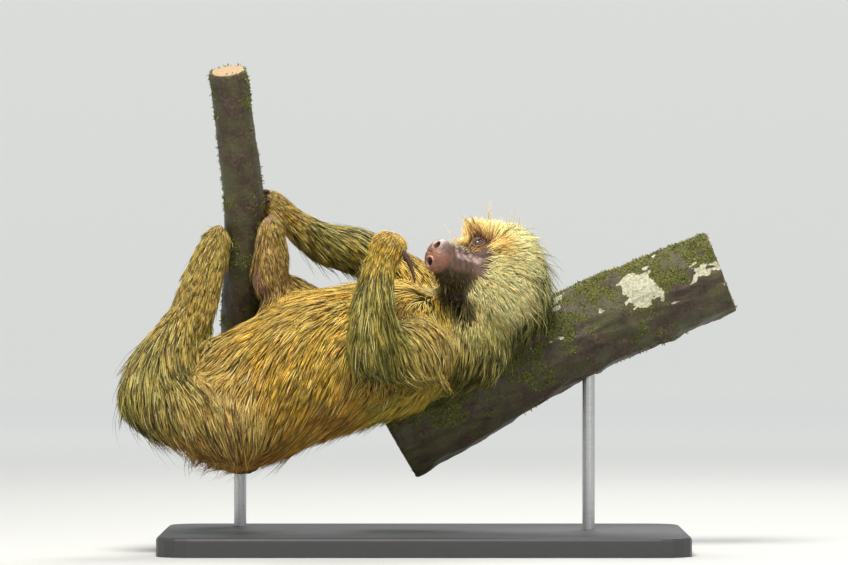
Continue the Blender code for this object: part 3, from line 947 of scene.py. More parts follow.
def scatter(mesh, density, data, keys):
    """Random roots on the skin: their places, faces' UV and the fields named by keys."""
    mesh.calc_loop_triangles()
    count = len(mesh.loop_triangles)
    corners = np.empty(count * 3, dtype=np.int64)
    mesh.loop_triangles.foreach_get("vertices", corners)
    corners = corners.reshape(-1, 3)
    loops = np.empty(count * 3, dtype=np.int64)
    mesh.loop_triangles.foreach_get("loops", loops)
    loops = loops.reshape(-1, 3)
    flat = np.empty(len(mesh.loops) * 2)
    mesh.uv_layers["OFBake"].uv.foreach_get("vector", flat)
    uv = flat.reshape(-1, 2)
    p = data["points"][corners]
    area = np.linalg.norm(np.cross(p[:, 1] - p[:, 0], p[:, 2] - p[:, 0]), axis=1) / 2
    expected = area * density[corners].mean(axis=1)
    edges = np.cumsum(expected)
    total = int(edges[-1])
    chosen = np.searchsorted(edges, (np.arange(total) + rng.random(total)) * edges[-1] / total)
    chosen = np.clip(chosen, 0, count - 1)
    a, b = rng.random(total), rng.random(total)
    over = a + b > 1
    a[over], b[over] = 1 - a[over], 1 - b[over]
    share = np.stack([1 - a - b, a, b], axis=1)
    roots = {}
    for key in keys:
        value = data[key][corners[chosen]]
        roots[key] = np.einsum("nc,nc...->n...", share, value)
    roots["uv"] = np.einsum("nc,nck->nk", share, uv[loops[chosen]])
    roots["owner"] = data["owner"][corners[chosen, 0]]
    return roots


def held(here, around, layer, t, loose):
    """Points of the locks held at their own layer of the coat's depth, and clear of the wood."""
    height = sample(SPACE["skin"], here)
    room = np.maximum(height - sample(SPACE["hull"], here), 0.0008)
    target = layer * room * min(1.0, 0.25 + 1.35 * t)
    kept = np.clip(height, target * 0.55, target)
    kept = np.where(height > target, mix(kept, height, loose), kept)
    here = here + around * (kept - height)[:, None]
    wood = sample(SPACE["perch"], here)
    return here + unit(sample(SPACE["perch_normal"], here)) * np.maximum(0.0012 - wood, 0)[:, None]


def grow(roots, segments, lift, wave, stray, give=0.5):
    """Spines of locks from root to tip, as points and the skin's direction at each."""
    count = len(roots["points"])
    normal = unit(roots["normals"])
    here = roots["points"] - normal * 0.0008
    tilt = lift + 0.16 * rng.standard_normal(count)
    heading = unit(roots["flow"]) * np.cos(tilt)[:, None] + normal * np.sin(tilt)[:, None]
    crossing = (roots["parting"] * (1 - roots["pale"]))[:, None]
    own = unit(np.cross(normal, rng.standard_normal((count, 3)))) * crossing * 1.3
    heading = unit(heading + own + 0.16 * rng.standard_normal((count, 3)))
    layer = 0.30 + 0.70 * rng.random(count) ** 0.7
    step = roots["long"] / segments
    bend = [value_noise(roots["points"] + shift, 0.014) - 0.5 for shift in (0.0, 3.1, 7.7)]
    bend = unit(np.stack(bend, axis=1))
    spine, across = [here], [normal]
    for k in range(segments):
        t = (k + 1) / segments
        around = unit(sample(SPACE["normal"], here))
        lie = unit(sample(SPACE["flow"], here))
        turn = np.sin(2.6 * t * math.pi + roots["phase"])[:, None]
        droop = DOWN * ((0.25 + 0.55 * roots["free"]) * t)[:, None]
        want = unit(lie + own * (1 - t) + bend * wave * turn + droop + 0.10 * rng.standard_normal((count, 3)))
        rise = (0.35 * stray + 0.45 * roots["stand"]) * (1 - t)
        heading = unit(heading * (1 - give) + want * give + around * rise[:, None])
        here = here + heading * step[:, None]
        around = unit(sample(SPACE["normal"], here))
        loose = np.clip(roots["free"] * t + roots["stand"] + stray, 0, 1)
        here = held(here, around, layer, t, loose)
        spine.append(here)
        across.append(around)
    return np.array(spine), np.array(across)


def gather(spine, roots, spacing, pull):
    """Draw locks together into tufts round their nearest leaders."""
    count = spine.shape[1]
    wanted = max(8, int(count / spacing))
    leaders = rng.permutation(count)[:wanted]
    tree = KDTree(wanted)
    for number, index in enumerate(leaders):
        tree.insert(roots["points"][index], number)
    tree.balance()
    nearest = np.array([tree.find(p)[1] for p in roots["points"].tolist()])
    leader = leaders[nearest]
    t = np.linspace(0, 1, len(spine))[:, None, None]
    pull = (pull * (0.7 + 0.6 * rng.random(count)))[None, :, None]
    apart = np.linalg.norm(roots["points"][leader] - roots["points"], axis=1)
    pull = pull * (1 - smooth_step(0.010, 0.018, apart))[None, :, None]
    return spine + (spine[:, leader] - spine) * pull * t ** 1.4, leader


def eased(spine):
    """The same spines without kinks."""
    middle = 0.5 * spine[1:-1] + 0.25 * (spine[:-2] + spine[2:])
    return np.concatenate([spine[:1], middle, spine[-1:]])


def lock_faces(rings, count):
    """Sides and ends of three-sided locks, as rows of vertex numbers."""
    quads, triangles = [], [[0, 2, 1]]
    for k in range(rings - 1):
        for a, b in ((0, 1), (1, 2), (2, 0)):
            quads.append([3 * k + a, 3 * k + b, 3 * k + 3 + b, 3 * k + 3 + a])
    last = 3 * (rings - 1)
    for a, b in ((0, 1), (1, 2), (2, 0)):
        triangles.append([last + a, last + b, 3 * rings])
    base = (np.arange(count) * (3 * rings + 1))[:, None, None]
    return (np.array(quads)[None] + base).reshape(-1, 4), (np.array(triangles)[None] + base).reshape(-1, 3)


def lock_arrays(spine, across, roots, width, flat, tip, root):
    """Vertices, faces, patch places and colours of three-sided tapering locks."""
    rings, count = len(spine) - 1, spine.shape[1]
    t = np.linspace(0, 1, rings + 1)
    along = unit(np.concatenate([spine[1:2] - spine[:1], spine[2:] - spine[:-2], spine[-1:] - spine[-2:-1]]))
    side = unit(np.cross(across, along))
    up = np.cross(along, side)
    profile = (0.75 + 0.5 * t * (1 - t) * 2) * (1 - t ** 3)
    half = (profile[:rings, None] * width[None, :] / 2)[..., None]
    corners = np.stack([spine[:rings] - side[:rings] * half,
                        spine[:rings] + side[:rings] * half,
                        spine[:rings] + up[:rings] * half * flat], axis=2)
    ring_points = corners.transpose(1, 0, 2, 3).reshape(count, rings * 3, 3)
    points = np.concatenate([ring_points, spine[rings][:, None, :]], axis=1)
    share = smooth_step(0.05, 0.75, t)[None, :rings, None]
    ring_tone = root[:, None, :] * (1 - share) + tip[:, None, :] * share
    tone = np.concatenate([np.repeat(ring_tone, 3, axis=1), tip[:, None, :]], axis=1)
    patch = np.array([[u, t[k]] for k in range(rings) for u in (0.0, 1.0, 0.5)] + [[0.5, 1.0]])
    place = roots["uv"][:, None, :] + (patch[None] - 0.5) * PATCH
    quads, triangles = lock_faces(rings, count)
    return {"points": points.reshape(-1, 3), "tone": tone.reshape(-1, 3), "place": place.reshape(-1, 2),
            "quads": quads, "triangles": triangles}


def joined_locks(name, parts):
    """One mesh from the arrays of several kinds of lock."""
    offsets = np.cumsum([0] + [len(part["points"]) for part in parts])
    points, tone, place = (np.concatenate([part[key] for part in parts])
                           for key in ("points", "tone", "place"))
    quads, triangles = (np.concatenate([part[key] + offset for part, offset in zip(parts, offsets)])
                        for key in ("quads", "triangles"))
    loops = np.concatenate([quads.ravel(), triangles.ravel()]).astype(np.int32)
    starts = np.concatenate([np.arange(len(quads)) * 4, len(quads) * 4 + np.arange(len(triangles)) * 3])
    mesh = bpy.data.meshes.new(name)
    mesh.vertices.add(len(points))
    mesh.vertices.foreach_set("co", points.astype(np.float32).ravel())
    mesh.loops.add(len(loops))
    mesh.loops.foreach_set("vertex_index", loops)
    mesh.polygons.add(len(starts))
    mesh.polygons.foreach_set("loop_start", starts.astype(np.int32))
    mesh.uv_layers.new(name="OFBake")
    mesh.uv_layers["OFBake"].uv.foreach_set("vector", place[loops].astype(np.float32).ravel())
    paint(mesh, "tone", tone)
    mesh.update(calc_edges=True)
    mesh.shade_smooth()
    return mesh


def paint(mesh, name, colours):
    """Colours per vertex, read by a material."""
    layer = mesh.color_attributes.new(name=name, type="FLOAT_COLOR", domain="POINT")
    rows = np.ones((len(colours), 4), dtype=np.float32)
    rows[:, :3] = np.clip(colours, 0, 1)
    layer.data.foreach_set("color", rows.ravel())


# ---------------------------------------------------------------- materials
class Value:
    """A number on a material's socket; arithmetic on it adds Math nodes."""

    def __init__(self, maker, socket):
        self.maker = maker
        self.socket = socket

    def _with(self, operation, first, second):
        return self.maker.node("ShaderNodeMath", {"operation": operation}, {0: first, 1: second})

    def __add__(self, other):
        return self._with("ADD", self, other)

    def __radd__(self, other):
        return self._with("ADD", other, self)

    def __sub__(self, other):
        return self._with("SUBTRACT", self, other)

    def __rsub__(self, other):
        return self._with("SUBTRACT", other, self)

    def __mul__(self, other):
        return self._with("MULTIPLY", self, other)

    def __rmul__(self, other):
        return self._with("MULTIPLY", other, self)


class Finish:
    """A material under construction."""

    def __init__(self, name, **fixed):
        self.material = bpy.data.materials.new(name)
        self.material.use_nodes = True
        self.tree = self.material.node_tree
        self.surface = self.tree.nodes["Principled BSDF"]
        for socket, value in fixed.items():
            self.surface.inputs[socket.replace("_", " ")].default_value = value

    def node(self, kind, settings=None, inputs=None, output=0):
        """Add a node with its settings and its inputs; give one of its outputs."""
        made = self.tree.nodes.new(kind)
        for key, value in (settings or {}).items():
            if key == "stops":
                fill_ramp(made.color_ramp, value)
            else:
                setattr(made, key, value)
        for key, value in (inputs or {}).items():
            self.feed(made.inputs[key], value)
        return Value(self, made.outputs[output])

    def feed(self, socket, value):
        if isinstance(value, Value):
            self.tree.links.new(value.socket, socket)
        else:
            socket.default_value = value

    def set(self, socket, value):
        self.feed(self.surface.inputs[socket], value)

    def place(self, stretch=(1, 1, 1)):
        """Object coordinates, stretched."""
        where = self.node("ShaderNodeTexCoord", output="Object")
        return self.node("ShaderNodeMapping", {}, {"Vector": where, "Scale": stretch})

    def noise(self, where, scale, detail=3.0, rough=0.5):
        return self.node("ShaderNodeTexNoise", {}, {"Vector": where, "Scale": scale, "Detail": detail,
                                                    "Roughness": rough})

    def range(self, value, low, high, to_low=0.0, to_high=1.0):
        span = {"Value": value, "From Min": low, "From Max": high, "To Min": to_low, "To Max": to_high}
        return self.node("ShaderNodeMapRange", {"interpolation_type": "SMOOTHSTEP"}, span)

    def blend(self, share, first, second, how="MIX"):
        """Mix of two colours."""
        return self.node("ShaderNodeMix", {"data_type": "RGBA", "blend_type": how},
                         {0: share, 6: first, 7: second}, output=2)

    def shaded(self, colour, amount):
        """A colour made lighter or darker by a number."""
        grey = self.node("ShaderNodeCombineColor", {}, {0: amount, 1: amount, 2: amount})
        return self.blend(1.0, colour, grey, "MULTIPLY")

    def ramp(self, value, *stops):
        """Colour by a number, with stops given as place, red, green and blue."""
        return self.node("ShaderNodeValToRGB", {"stops": stops}, {"Fac": value})

    def painted(self, name, output="Color"):
        return self.node("ShaderNodeAttribute", {"attribute_name": name}, output=output)

    def bump(self, height, strength, distance):
        self.set("Normal", self.node("ShaderNodeBump", {}, {"Height": height, "Strength": strength,
                                                            "Distance": distance}))


def fill_ramp(ramp, stops):
    while len(ramp.elements) > 1:
        ramp.elements.remove(ramp.elements[0])
    for index, (position, *colour) in enumerate(stops):
        element = ramp.elements[0] if index == 0 else ramp.elements.new(position)
        element.position = position
        element.color = (*colour, 1)


def coat_finish():
    """Coarse hair: painted colour broken up by fine flecks."""
    finish = Finish("coat", Roughness=0.62, Specular_IOR_Level=0.32)
    fleck = finish.range(finish.noise(finish.place(), 900.0, 2.0), 0.30, 0.70, 0.78, 1.18)
    finish.set("Base Color", finish.shaded(finish.painted("tone"), fleck))
    return finish.material


def skin_finish():
    """Bare skin, finely pebbled and creased, and moist where it is painted wet."""
    finish = Finish("skin", Specular_IOR_Level=0.5)
    where = finish.place()
    blotch = finish.range(finish.noise(where, 260.0, 4.0), 0.3, 0.7, 0.80, 1.20)
    finish.set("Base Color", finish.shaded(finish.painted("tone"), blotch))
    wet = finish.painted("wet", "Fac")
    finish.set("Roughness", 0.62 - 0.34 * wet + 0.10 * finish.noise(where, 420.0, 3.0))
    pebble = finish.node("ShaderNodeTexVoronoi", {"feature": "SMOOTH_F1"},
                         {"Vector": where, "Scale": 950.0, "Smoothness": 0.6}, output="Distance")
    crease = finish.noise(where, 320.0, 5.0, 0.6)
    finish.bump(crease * 0.8 - pebble * 0.9, 0.55, 0.0009)
    return finish.material


def eye_finish():
    """Dark brown wet eyeball."""
    finish = Finish("eyeball", Roughness=0.06, Coat_Weight=1.0, Coat_Roughness=0.03)
    mottle = finish.noise(finish.place(), 500.0, 2.0)
    finish.set("Base Color", finish.ramp(mottle, (0.35, 0.008, 0.004, 0.003), (0.75, 0.030, 0.014, 0.008)))
    return finish.material


def wood_colours(finish, where, edge):
    """Colours of bark, moss, lichen and of the sawn ends with their rings."""
    fine = finish.noise(where, 330.0, 6.0, 0.65)
    broad = finish.noise(where, 70.0, 3.0)
    bark = finish.ramp(fine * 0.6 + broad * 0.4, (0.30, 0.010, 0.006, 0.004), (0.52, 0.050, 0.030, 0.017),
                       (0.72, 0.150, 0.098, 0.058))
    film = finish.range(finish.noise(where, 45.0, 4.0), 0.36, 0.62, 0.0, 0.70)
    bark = finish.blend(film, bark, (0.070, 0.070, 0.022, 1))
    moss = finish.ramp(finish.noise(where, 600.0, 4.0, 0.6), (0.30, 0.018, 0.021, 0.006),
                       (0.55, 0.085, 0.088, 0.018), (0.75, 0.23, 0.215, 0.050))
    lichen = finish.ramp(finish.noise(where, 500.0, 4.0), (0.35, 0.27, 0.265, 0.170),
                         (0.65, 0.52, 0.50, 0.355))
    turns = finish.painted("rings", "Fac") * 420.0 + edge * 2.5
    ring = finish.node("ShaderNodeMath", {"operation": "SINE"}, {0: turns})
    wood = finish.blend(ring * 0.5 + 0.5, (0.30, 0.185, 0.090, 1), (0.45, 0.31, 0.17, 1))
    return fine, bark, moss, lichen, wood


def bark_finish():
    """Wet dark bark with moss, pale lichen and sawn ends."""
    finish = Finish("bark", Specular_IOR_Level=0.4)
    where = finish.place()
    edge = finish.noise(where, 240.0, 5.0, 0.6)
    fine, bark, moss, lichen, wood = wood_colours(finish, where, edge)
    split = finish.node("ShaderNodeSeparateColor", {}, {0: finish.painted("marks")}).socket.node
    mossy, scaly, sawn = (Value(finish, split.outputs[k]) for k in range(3))
    mossy = finish.range(mossy + edge * 0.8 - 0.4, 0.30, 0.62)
    scaly = finish.range(scaly + edge * 0.5 - 0.25, 0.45, 0.60)
    colour = finish.blend(scaly, finish.blend(mossy, bark, moss), lichen)
    finish.set("Base Color", finish.blend(finish.range(sawn, 0.4, 0.6), colour, wood))
    finish.set("Roughness", 0.50 + 0.38 * mossy)
    finish.bump(fine + edge * 0.5, 0.8, 0.0016)
    return finish.material


def moss_finish():
    """Soft green moss."""
    finish = Finish("moss", Roughness=0.85)
    fleck = finish.range(finish.noise(finish.place(), 800.0, 2.0), 0.3, 0.7, 0.75, 1.25)
    finish.set("Base Color", finish.shaded(finish.painted("tone"), fleck))
    return finish.material


def stand_finish():
    """Matt charcoal paint with a fine orange-peel."""
    finish = Finish("stand_paint", Coat_Weight=0.15, Coat_Roughness=0.4)
    where = finish.place()
    speck = finish.noise(where, 1400.0, 2.0)
    finish.set("Base Color", finish.ramp(speck, (0.3, 0.030, 0.030, 0.031), (0.7, 0.046, 0.046, 0.047)))
    finish.set("Roughness", 0.48 + 0.18 * finish.noise(where, 60.0, 3.0))
    finish.bump(speck, 0.25, 0.0003)
    return finish.material


def rod_finish():
    """Steel brushed round the rod."""
    finish = Finish("stand_steel", Metallic=1.0)
    brush = finish.noise(finish.place((0.02, 0.02, 1.0)), 4200.0, 2.0)
    finish.set("Base Color", finish.ramp(brush, (0.3, 0.42, 0.42, 0.43), (0.7, 0.60, 0.60, 0.61)))
    finish.set("Roughness", 0.26 + 0.22 * brush)
    finish.bump(brush, 0.15, 0.0002)
    return finish.material


def claw_finish():
    """Dark reddish horn with fine streaks."""
    finish = Finish("claw_horn", Specular_IOR_Level=0.6)
    streak = finish.noise(finish.place((1.0, 1.0, 0.25)), 700.0, 4.0, 0.6)
    finish.set("Base Color", finish.ramp(streak, (0.25, 0.018, 0.007, 0.005), (0.60, 0.075, 0.028, 0.016),
                                         (0.85, 0.19, 0.085, 0.045)))
    finish.set("Roughness", 0.26 + 0.25 * streak)
    finish.bump(streak, 0.35, 0.0006)
    return finish.material


# ---------------------------------------------------------------- coat pieces
# Which piece each node's hair is part of; the wide ones are parted into a left and a right half.
PIECES = {
    "coat_head": ("head", "ear_left", "ear_right", "cheek_left", "cheek_right"),
    "coat_face": ("muzzle", "nose", "jaw", "eye_left", "eye_right"),
    "coat_chest": ("neck", "chest"),
    "coat_belly": ("belly",),
    "coat_hips": ("hips",),
    "coat_arm_left": ("upper_arm_left", "forearm_left", "hand_left"),
    "coat_arm_right": ("upper_arm_right", "forearm_right", "hand_right"),
    "coat_thigh_left": ("thigh_left",),
    "coat_shank_left": ("shank_left", "foot_left"),
    "coat_leg_right": ("thigh_right", "shank_right", "foot_right"),
}
HALVED = ("coat_head", "coat_belly", "coat_hips")
# Locks per square metre, in thousands.
DENSITY = {"head": 700, "cheek": 640, "muzzle": 560, "nose": 0, "jaw": 600, "hand": 620, "foot": 460,
           "forearm": 390, "shank": 355, "upper": 300, "thigh": 320, "neck": 330, "chest": 290,
           "belly": 285, "hips": 285, "eye": 420, "ear": 500}
# Share of dark locks, where it isn't one in ten.
DARK_SHARE = {"neck": 0.40, "forearm": 0.36, "shank": 0.30, "upper": 0.18, "thigh": 0.16, "chest": 0.06,
              "hand": 0.05}
# Nodes whose dark locks are olive, and how far a node's hair hangs free at its tips, where it isn't 0.15.
COOL = ("head", "neck", "forearm")
HANG = {"neck": 0.30, "upper_arm_left": 0.40, "forearm_right": 0.35, "upper_arm_right": 0.35}
# Shortest and longest lock made of each number of segments, and the locks in a tuft and in a big tuft.
SEGMENTS = ((0.0, 0.011, 2), (0.011, 0.030, 3), (0.030, 1.0, 4))
TUFT = 9.0
BIG_TUFT = 34.0
# Number of long single hairs on the brow and crown.
FLYAWAYS = 75
# A whole turn of a lock's wave.
TURN = 6.283


def hair_density(data):
    """Locks per square metre at each vertex of the skin."""
    rows = np.array([DENSITY[kind_of(n)] for n in FLESH])[data["owner"]] * 1000.0
    local = to_head(data["points"])
    ahead, above, left = local.T
    near = (data["owner"] < NECK) & (np.linalg.norm(local, axis=1) < 0.10)
    shaded = left_shade(local)
    flank = smooth_step(0.006, 0.015, np.abs(left) - 0.3 * np.maximum(above, 0))
    below = smooth_step(0.000, -0.008, above)
    thin = smooth_step(0.036, 0.010, ahead) * (0.15 + 0.85 * np.maximum(flank, below))
    thin = np.maximum(thin, 0.85 * shaded * smooth_step(0.040, 0.031, ahead))
    on_snout = near & (ahead > 0.006) & (np.hypot(above, left) < 0.026)
    rows = np.where(on_snout, rows * thin, rows)
    rows = np.where(near & (ahead > 0.039), 0.0, rows)
    bridge = smooth_step(-0.003, 0.003, ahead) * smooth_step(0.028, 0.022, np.abs(left))
    rows = rows * (1 - 0.90 * near * bridge * smooth_step(-0.009, -0.004, above) * (1 - 0.8 * shaded))
    rows = rows * (1 - 0.20 * near * smooth_step(-0.030, -0.060, ahead))
    rows = rows * (1 + 0.9 * data["parting"] * ~near) * (1 - 0.93 * data["heel"])
    return rows * (1 - smooth_step(0.35, 0.75, data["lid"])) * (1 - smooth_step(0.2, 0.6, data["dark"]))


def hair_length(data):
    """Length of the locks at each vertex of the skin."""
    local = to_head(data["points"])
    ahead, above, left = local.T
    long = mix(0.0110, 0.038, smooth_step(-0.006, -0.060, ahead))
    long = np.maximum(long, 0.024 * smooth_step(0.020, 0.032, np.abs(left)))
    flank = smooth_step(0.011, 0.016, np.abs(left)) * smooth_step(0.003, -0.003, above)
    snout = mix(0.0036, 0.0165, flank * smooth_step(0.038, 0.018, ahead))
    long = mix(long, snout, smooth_step(0.008, 0.018, ahead))
    long = np.maximum(long, 0.024 * smooth_step(-0.025, -0.033, left))
    for side in EYE:
        long = mix(long, 0.0028, 1 - smooth_step(0.0070, 0.0125, eye_ring(local, side)))
    on_head = (data["owner"] < NECK) & (np.hypot(above, left) < 0.08)
    return np.where(on_head, long, data["length"])


def root_habits(roots):
    """What each root's lock does: its length, phase, chance of being dark, and how it hangs and stands."""
    count = len(roots["points"])
    roots["long"] = roots["long"] * (0.72 + 0.5 * rng.random(count))
    roots["phase"] = rng.random(count) * TURN
    local = to_head(roots["points"])
    ahead, above, left = local.T
    owner = roots["owner"]
    share = np.array([DARK_SHARE.get(kind_of(n), 0.10) for n in FLESH])[owner]
    behind = smooth_step(-0.016, -0.052, ahead)
    low = smooth_step(0.028, 0.060, EYE_LINE[2] - roots["points"][:, 2]) * behind
    roots["dark_share"] = np.where(owner == FLESH.index("head"), 0.02 + 0.34 * behind + 0.34 * low, share)
    roots["pale"] = (owner < NECK) * smooth_step(-0.050, -0.020, ahead)
    roots["cool"] = np.array([kind_of(n) in COOL for n in FLESH])[owner].astype(float)
    roots["free"] = np.array([HANG.get(n, 0.15) for n in FLESH])[owner]
    stand = (owner < NECK) * smooth_step(-0.034, -0.012, ahead) * smooth_step(0.036, 0.016, ahead)
    stand = stand * np.where(ahead > 0.004, smooth_step(0.005, -0.002, above), 1.0)
    ring = np.minimum(eye_ring(local, "left"), eye_ring(local, "right"))
    stand = stand * smooth_step(0.0085, 0.0150, ring)
    stand = np.maximum(stand, (owner < NECK) * 0.55 * smooth_step(-0.045, -0.065, ahead))
    fluff = smooth_step(-0.030, -0.042, left) * smooth_step(-0.045, -0.020, ahead)
    roots["stand"] = np.maximum(stand, (owner < NECK) * 0.50 * fluff)


def piece_roots(roots):
    """Each piece's name, and which roots are in it."""
    piece_of = np.array([next(k for k, name in enumerate(PIECES) if node in PIECES[name]) for node in FLESH])
    piece = piece_of[roots["owner"]]
    left = dot(roots["points"] - centre("belly"), -np.eye(3)[1]) > 0
    left = np.where(piece == 0, to_head(roots["points"])[:, 2] > 0, left)
    for number, name in enumerate(PIECES):
        ends = (("_left", left), ("_right", ~left)) if name in HALVED else (("", True),)
        for end, keep in ends:
            yield name + end, (piece == number) & keep


def grow_coat(mesh, data, finish):
    """All pieces of the coat."""
    data["long"] = hair_length(data)
    keys = ("points", "normals", "flow", "calm", "parting", "long", "tip", "root")
    roots = scatter(mesh, hair_density(data), data, keys)
    root_habits(roots)
    for name, here in piece_roots(roots):
        parts = []
        if name == "coat_head_right":
            parts.append(flyaways(roots, here))
        for low, high, segments in SEGMENTS:
            chosen = here & (roots["long"] >= low) & (roots["long"] < high)
            if chosen.sum() > 20:
                kind = {key: value[chosen] for key, value in roots.items()}
                parts.append(locks(kind, segments))
        add_mesh(name, joined_locks(name, parts), finish)


def flyaways(roots, here):
    """A few long single hairs that stand up from the brow and crown."""
    height = dot(unit(roots["normals"]), -DOWN)
    local = to_head(roots["points"])
    ring = np.minimum(eye_ring(local, "left"), eye_ring(local, "right"))
    upper = here & (height > 0.45) & (ring > 0.0185)
    chosen = rng.permutation(np.flatnonzero(upper))[:FLYAWAYS]
    count = len(chosen)
    kind = {key: value[chosen] for key, value in roots.items()}
    kind["long"] = 0.018 + 0.018 * rng.random(count)
    kind["stand"] = np.full(count, 0.8)
    lift = 0.70 + 0.6 * rng.random(count)
    spine, across = grow(kind, 5, lift, 1.6, np.ones(count), 0.16)
    spine = eased(gather(spine, kind, 6.0, 0.7)[0])
    tip = mix(kind["tip"], (0.60, 0.42, 0.11), 0.7)
    return lock_arrays(spine, across, kind, np.full(count, 0.0008), 0.8, tip, tip * 0.8)


def locks(roots, segments):
    """One kind of lock, from roots to arrays of a mesh."""
    count = len(roots["points"])
    on_head = (roots["owner"] < NECK).astype(float)
    often = 0.045 + 0.05 * on_head
    stray = (rng.random(count) < often) * (0.4 + 0.6 * rng.random(count))
    roots["long"] = roots["long"] * (1 + 0.25 * stray)
    short = smooth_step(0.030, 0.006, roots["long"])
    lift = 0.30 + 0.25 * short + 0.55 * roots["stand"] + 0.50 * smooth_step(0.65, 0.20, roots["calm"])
    shaggy = np.maximum(on_head, roots["owner"] == NECK)
    clumped = shaggy * smooth_step(-0.020, -0.050, to_head(roots["points"])[:, 0])
    wave = (0.62 + 0.50 * shaggy + 0.60 * clumped)[:, None]
    spine, across = grow(roots, segments, lift, wave, stray)
    tufted = 0.72 * (1 - 0.5 * short) * (1 - stray) * (1 - 0.15 * on_head)
    spine, leader = gather(spine, roots, TUFT, tufted)
    spine = gather(spine, roots, BIG_TUFT, (0.16 + 0.36 * clumped) * (1 - short) * (1 - stray))[0]
    width = mix(0.00145, 0.00070, short) * (0.75 + 0.5 * rng.random(count)) * (1 - 0.35 * stray)
    width = width * (1 - 0.18 * on_head)
    tip, root = lock_tones(roots, leader)
    return lock_arrays(eased(spine), across, roots, width, 0.55, tip, root)


def lock_tones(roots, leader):
    """Tip and root colours of each lock, with dark and pale locks among them."""
    count = len(leader)
    soft = 1 - 0.55 * roots["pale"]
    shade = 1 + 0.22 * soft * rng.uniform(-1, 1, count)
    shade = (shade * (1 + (0.22 * rng.uniform(-1, 1, count))[leader] * soft))[:, None]
    warm = 0.06 * rng.standard_normal(count)[leader]
    tip = roots["tip"] * shade * np.stack([1 + warm, np.ones(count), 1 - warm], axis=1)
    dark = rng.random(count) < roots["dark_share"]
    deep = mix(UMBER, DEEP_OLIVE, roots["cool"])
    tip = np.where(dark[:, None], mix(tip * 0.30, deep, 0.6), tip)
    pale = rng.random(count) < 0.10
    tip = np.where(pale[:, None], mix(tip, CREAM, 0.40), tip)
    return tip, roots["root"] * shade


# ---------------------------------------------------------------- perch
# Each wood's depth of bark, how much more moss it has, and its number of moss tufts.
WOOD = {"perch_branch": (0.0008, -0.01, 4600), "perch_limb": (0.0021, -0.02, 10500)}


def centre_line(points, axis):
    """Middle of a bent stick at each point, found by slices along its length."""
    along = points @ axis
    slices = 24
    index = np.clip(((along - along.min()) / (np.ptp(along) + 1e-9) * slices).astype(int), 0, slices - 1)
    count = np.maximum(np.bincount(index, minlength=slices), 1)
    middles = np.stack([np.bincount(index, points[:, k], slices) / count for k in range(3)], axis=1)
    heights = np.bincount(index, along, slices) / count
    return np.stack([np.interp(along, heights, middles[:, k]) for k in range(3)], axis=1)


def bark_marks(node, points, normals, axis, moss_level):
    """Where moss and lichen grow on the wood."""
    patch = 0.45 * value_noise(points, 0.026) + 0.30 * value_noise(points, 0.010)
    patch = patch + 0.25 * value_noise(points, 0.0045)
    moss = smooth_step(0.40, 0.64, patch + moss_level + 0.26 * normals[:, 2])
    scale = 0.6 * value_noise(points + 2.0, 0.019) + 0.4 * value_noise(points, 0.006)
    lichen = smooth_step(0.63, 0.67, scale) * smooth_step(-0.3, 0.4, normals[:, 2])
    if node == "perch_limb":
        worn = worn_patch(points, axis)
        moss = moss * (1 - worn)
        lichen = np.maximum(lichen, worn)
    return moss, lichen * (1 - 0.8 * moss)


def bark_mesh(node, rough, moss_level):
    """Wood with furrowed bark, knots and sawn ends; also how mossy each vertex is."""
    mesh = modified(mesh_from(merged_nodes([node], 0.0), node),
                    ("REMESH", {"mode": "VOXEL", "voxel_size": WOOD_GRAIN}))
    edges = edge_pairs(mesh)
    set_coords(mesh, relax(coords(mesh), edges, 2))
    points, normals = coords(mesh), vertex_normals(mesh)
    axis = np.linalg.svd(points - points.mean(axis=0), full_matrices=False)[2][0]
    along = points @ axis
    radial = points - centre_line(points, axis)
    radial = radial - (radial @ axis)[:, None] * axis
    reach = np.linalg.norm(radial, axis=1)
    end = (np.abs(normals @ axis) > 0.80) & ((along < along.min() + 0.012) | (along > along.max() - 0.012))
    end = np.clip(relax(end.astype(float), edges, 1), 0, 1)
    squeezed = points - (along * 0.72)[:, None] * axis
    furrow = 1 - np.abs(2 * value_noise(squeezed, 0.0068) - 1)
    plates = value_noise(points, 0.019) + 0.5 * value_noise(squeezed, 0.0036)
    knob = smooth_step(0.72, 0.95, value_noise(points + 5.0, 0.034))
    rise = rough * (0.9 * (furrow ** 2 - 0.5) + 0.9 * (plates - 0.75)) + 1.6 * rough * knob
    set_coords(mesh, points + normals * (rise * (1 - end) - 0.0004 * end)[:, None])
    moss, lichen = bark_marks(node, points, vertex_normals(mesh), axis, moss_level)
    paint(mesh, "marks", np.stack([moss * (1 - end), lichen * (1 - end), end], axis=1))
    paint(mesh, "rings", np.repeat((reach * 10)[:, None], 3, axis=1))
    mesh.shade_smooth()
    return mesh, moss * (1 - end)


def worn_patch(points, axis):
    """A square pale place on the near side of the limb, where the old bark has come away."""
    low, high = (np.array(corner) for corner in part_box("perch_limb"))
    off = points - (low + (high - low) * (0.73, 0.10, 0.77))
    along = off @ axis
    across = np.linalg.norm(off - along[:, None] * axis, axis=1)
    ragged_edge = 0.010 * (value_noise(points, 0.006) - 0.5) + 0.006 * (value_noise(points, 0.0025) - 0.5)
    return 1 - smooth_step(0.0150, 0.0175, np.maximum(np.abs(along), across) + ragged_edge)


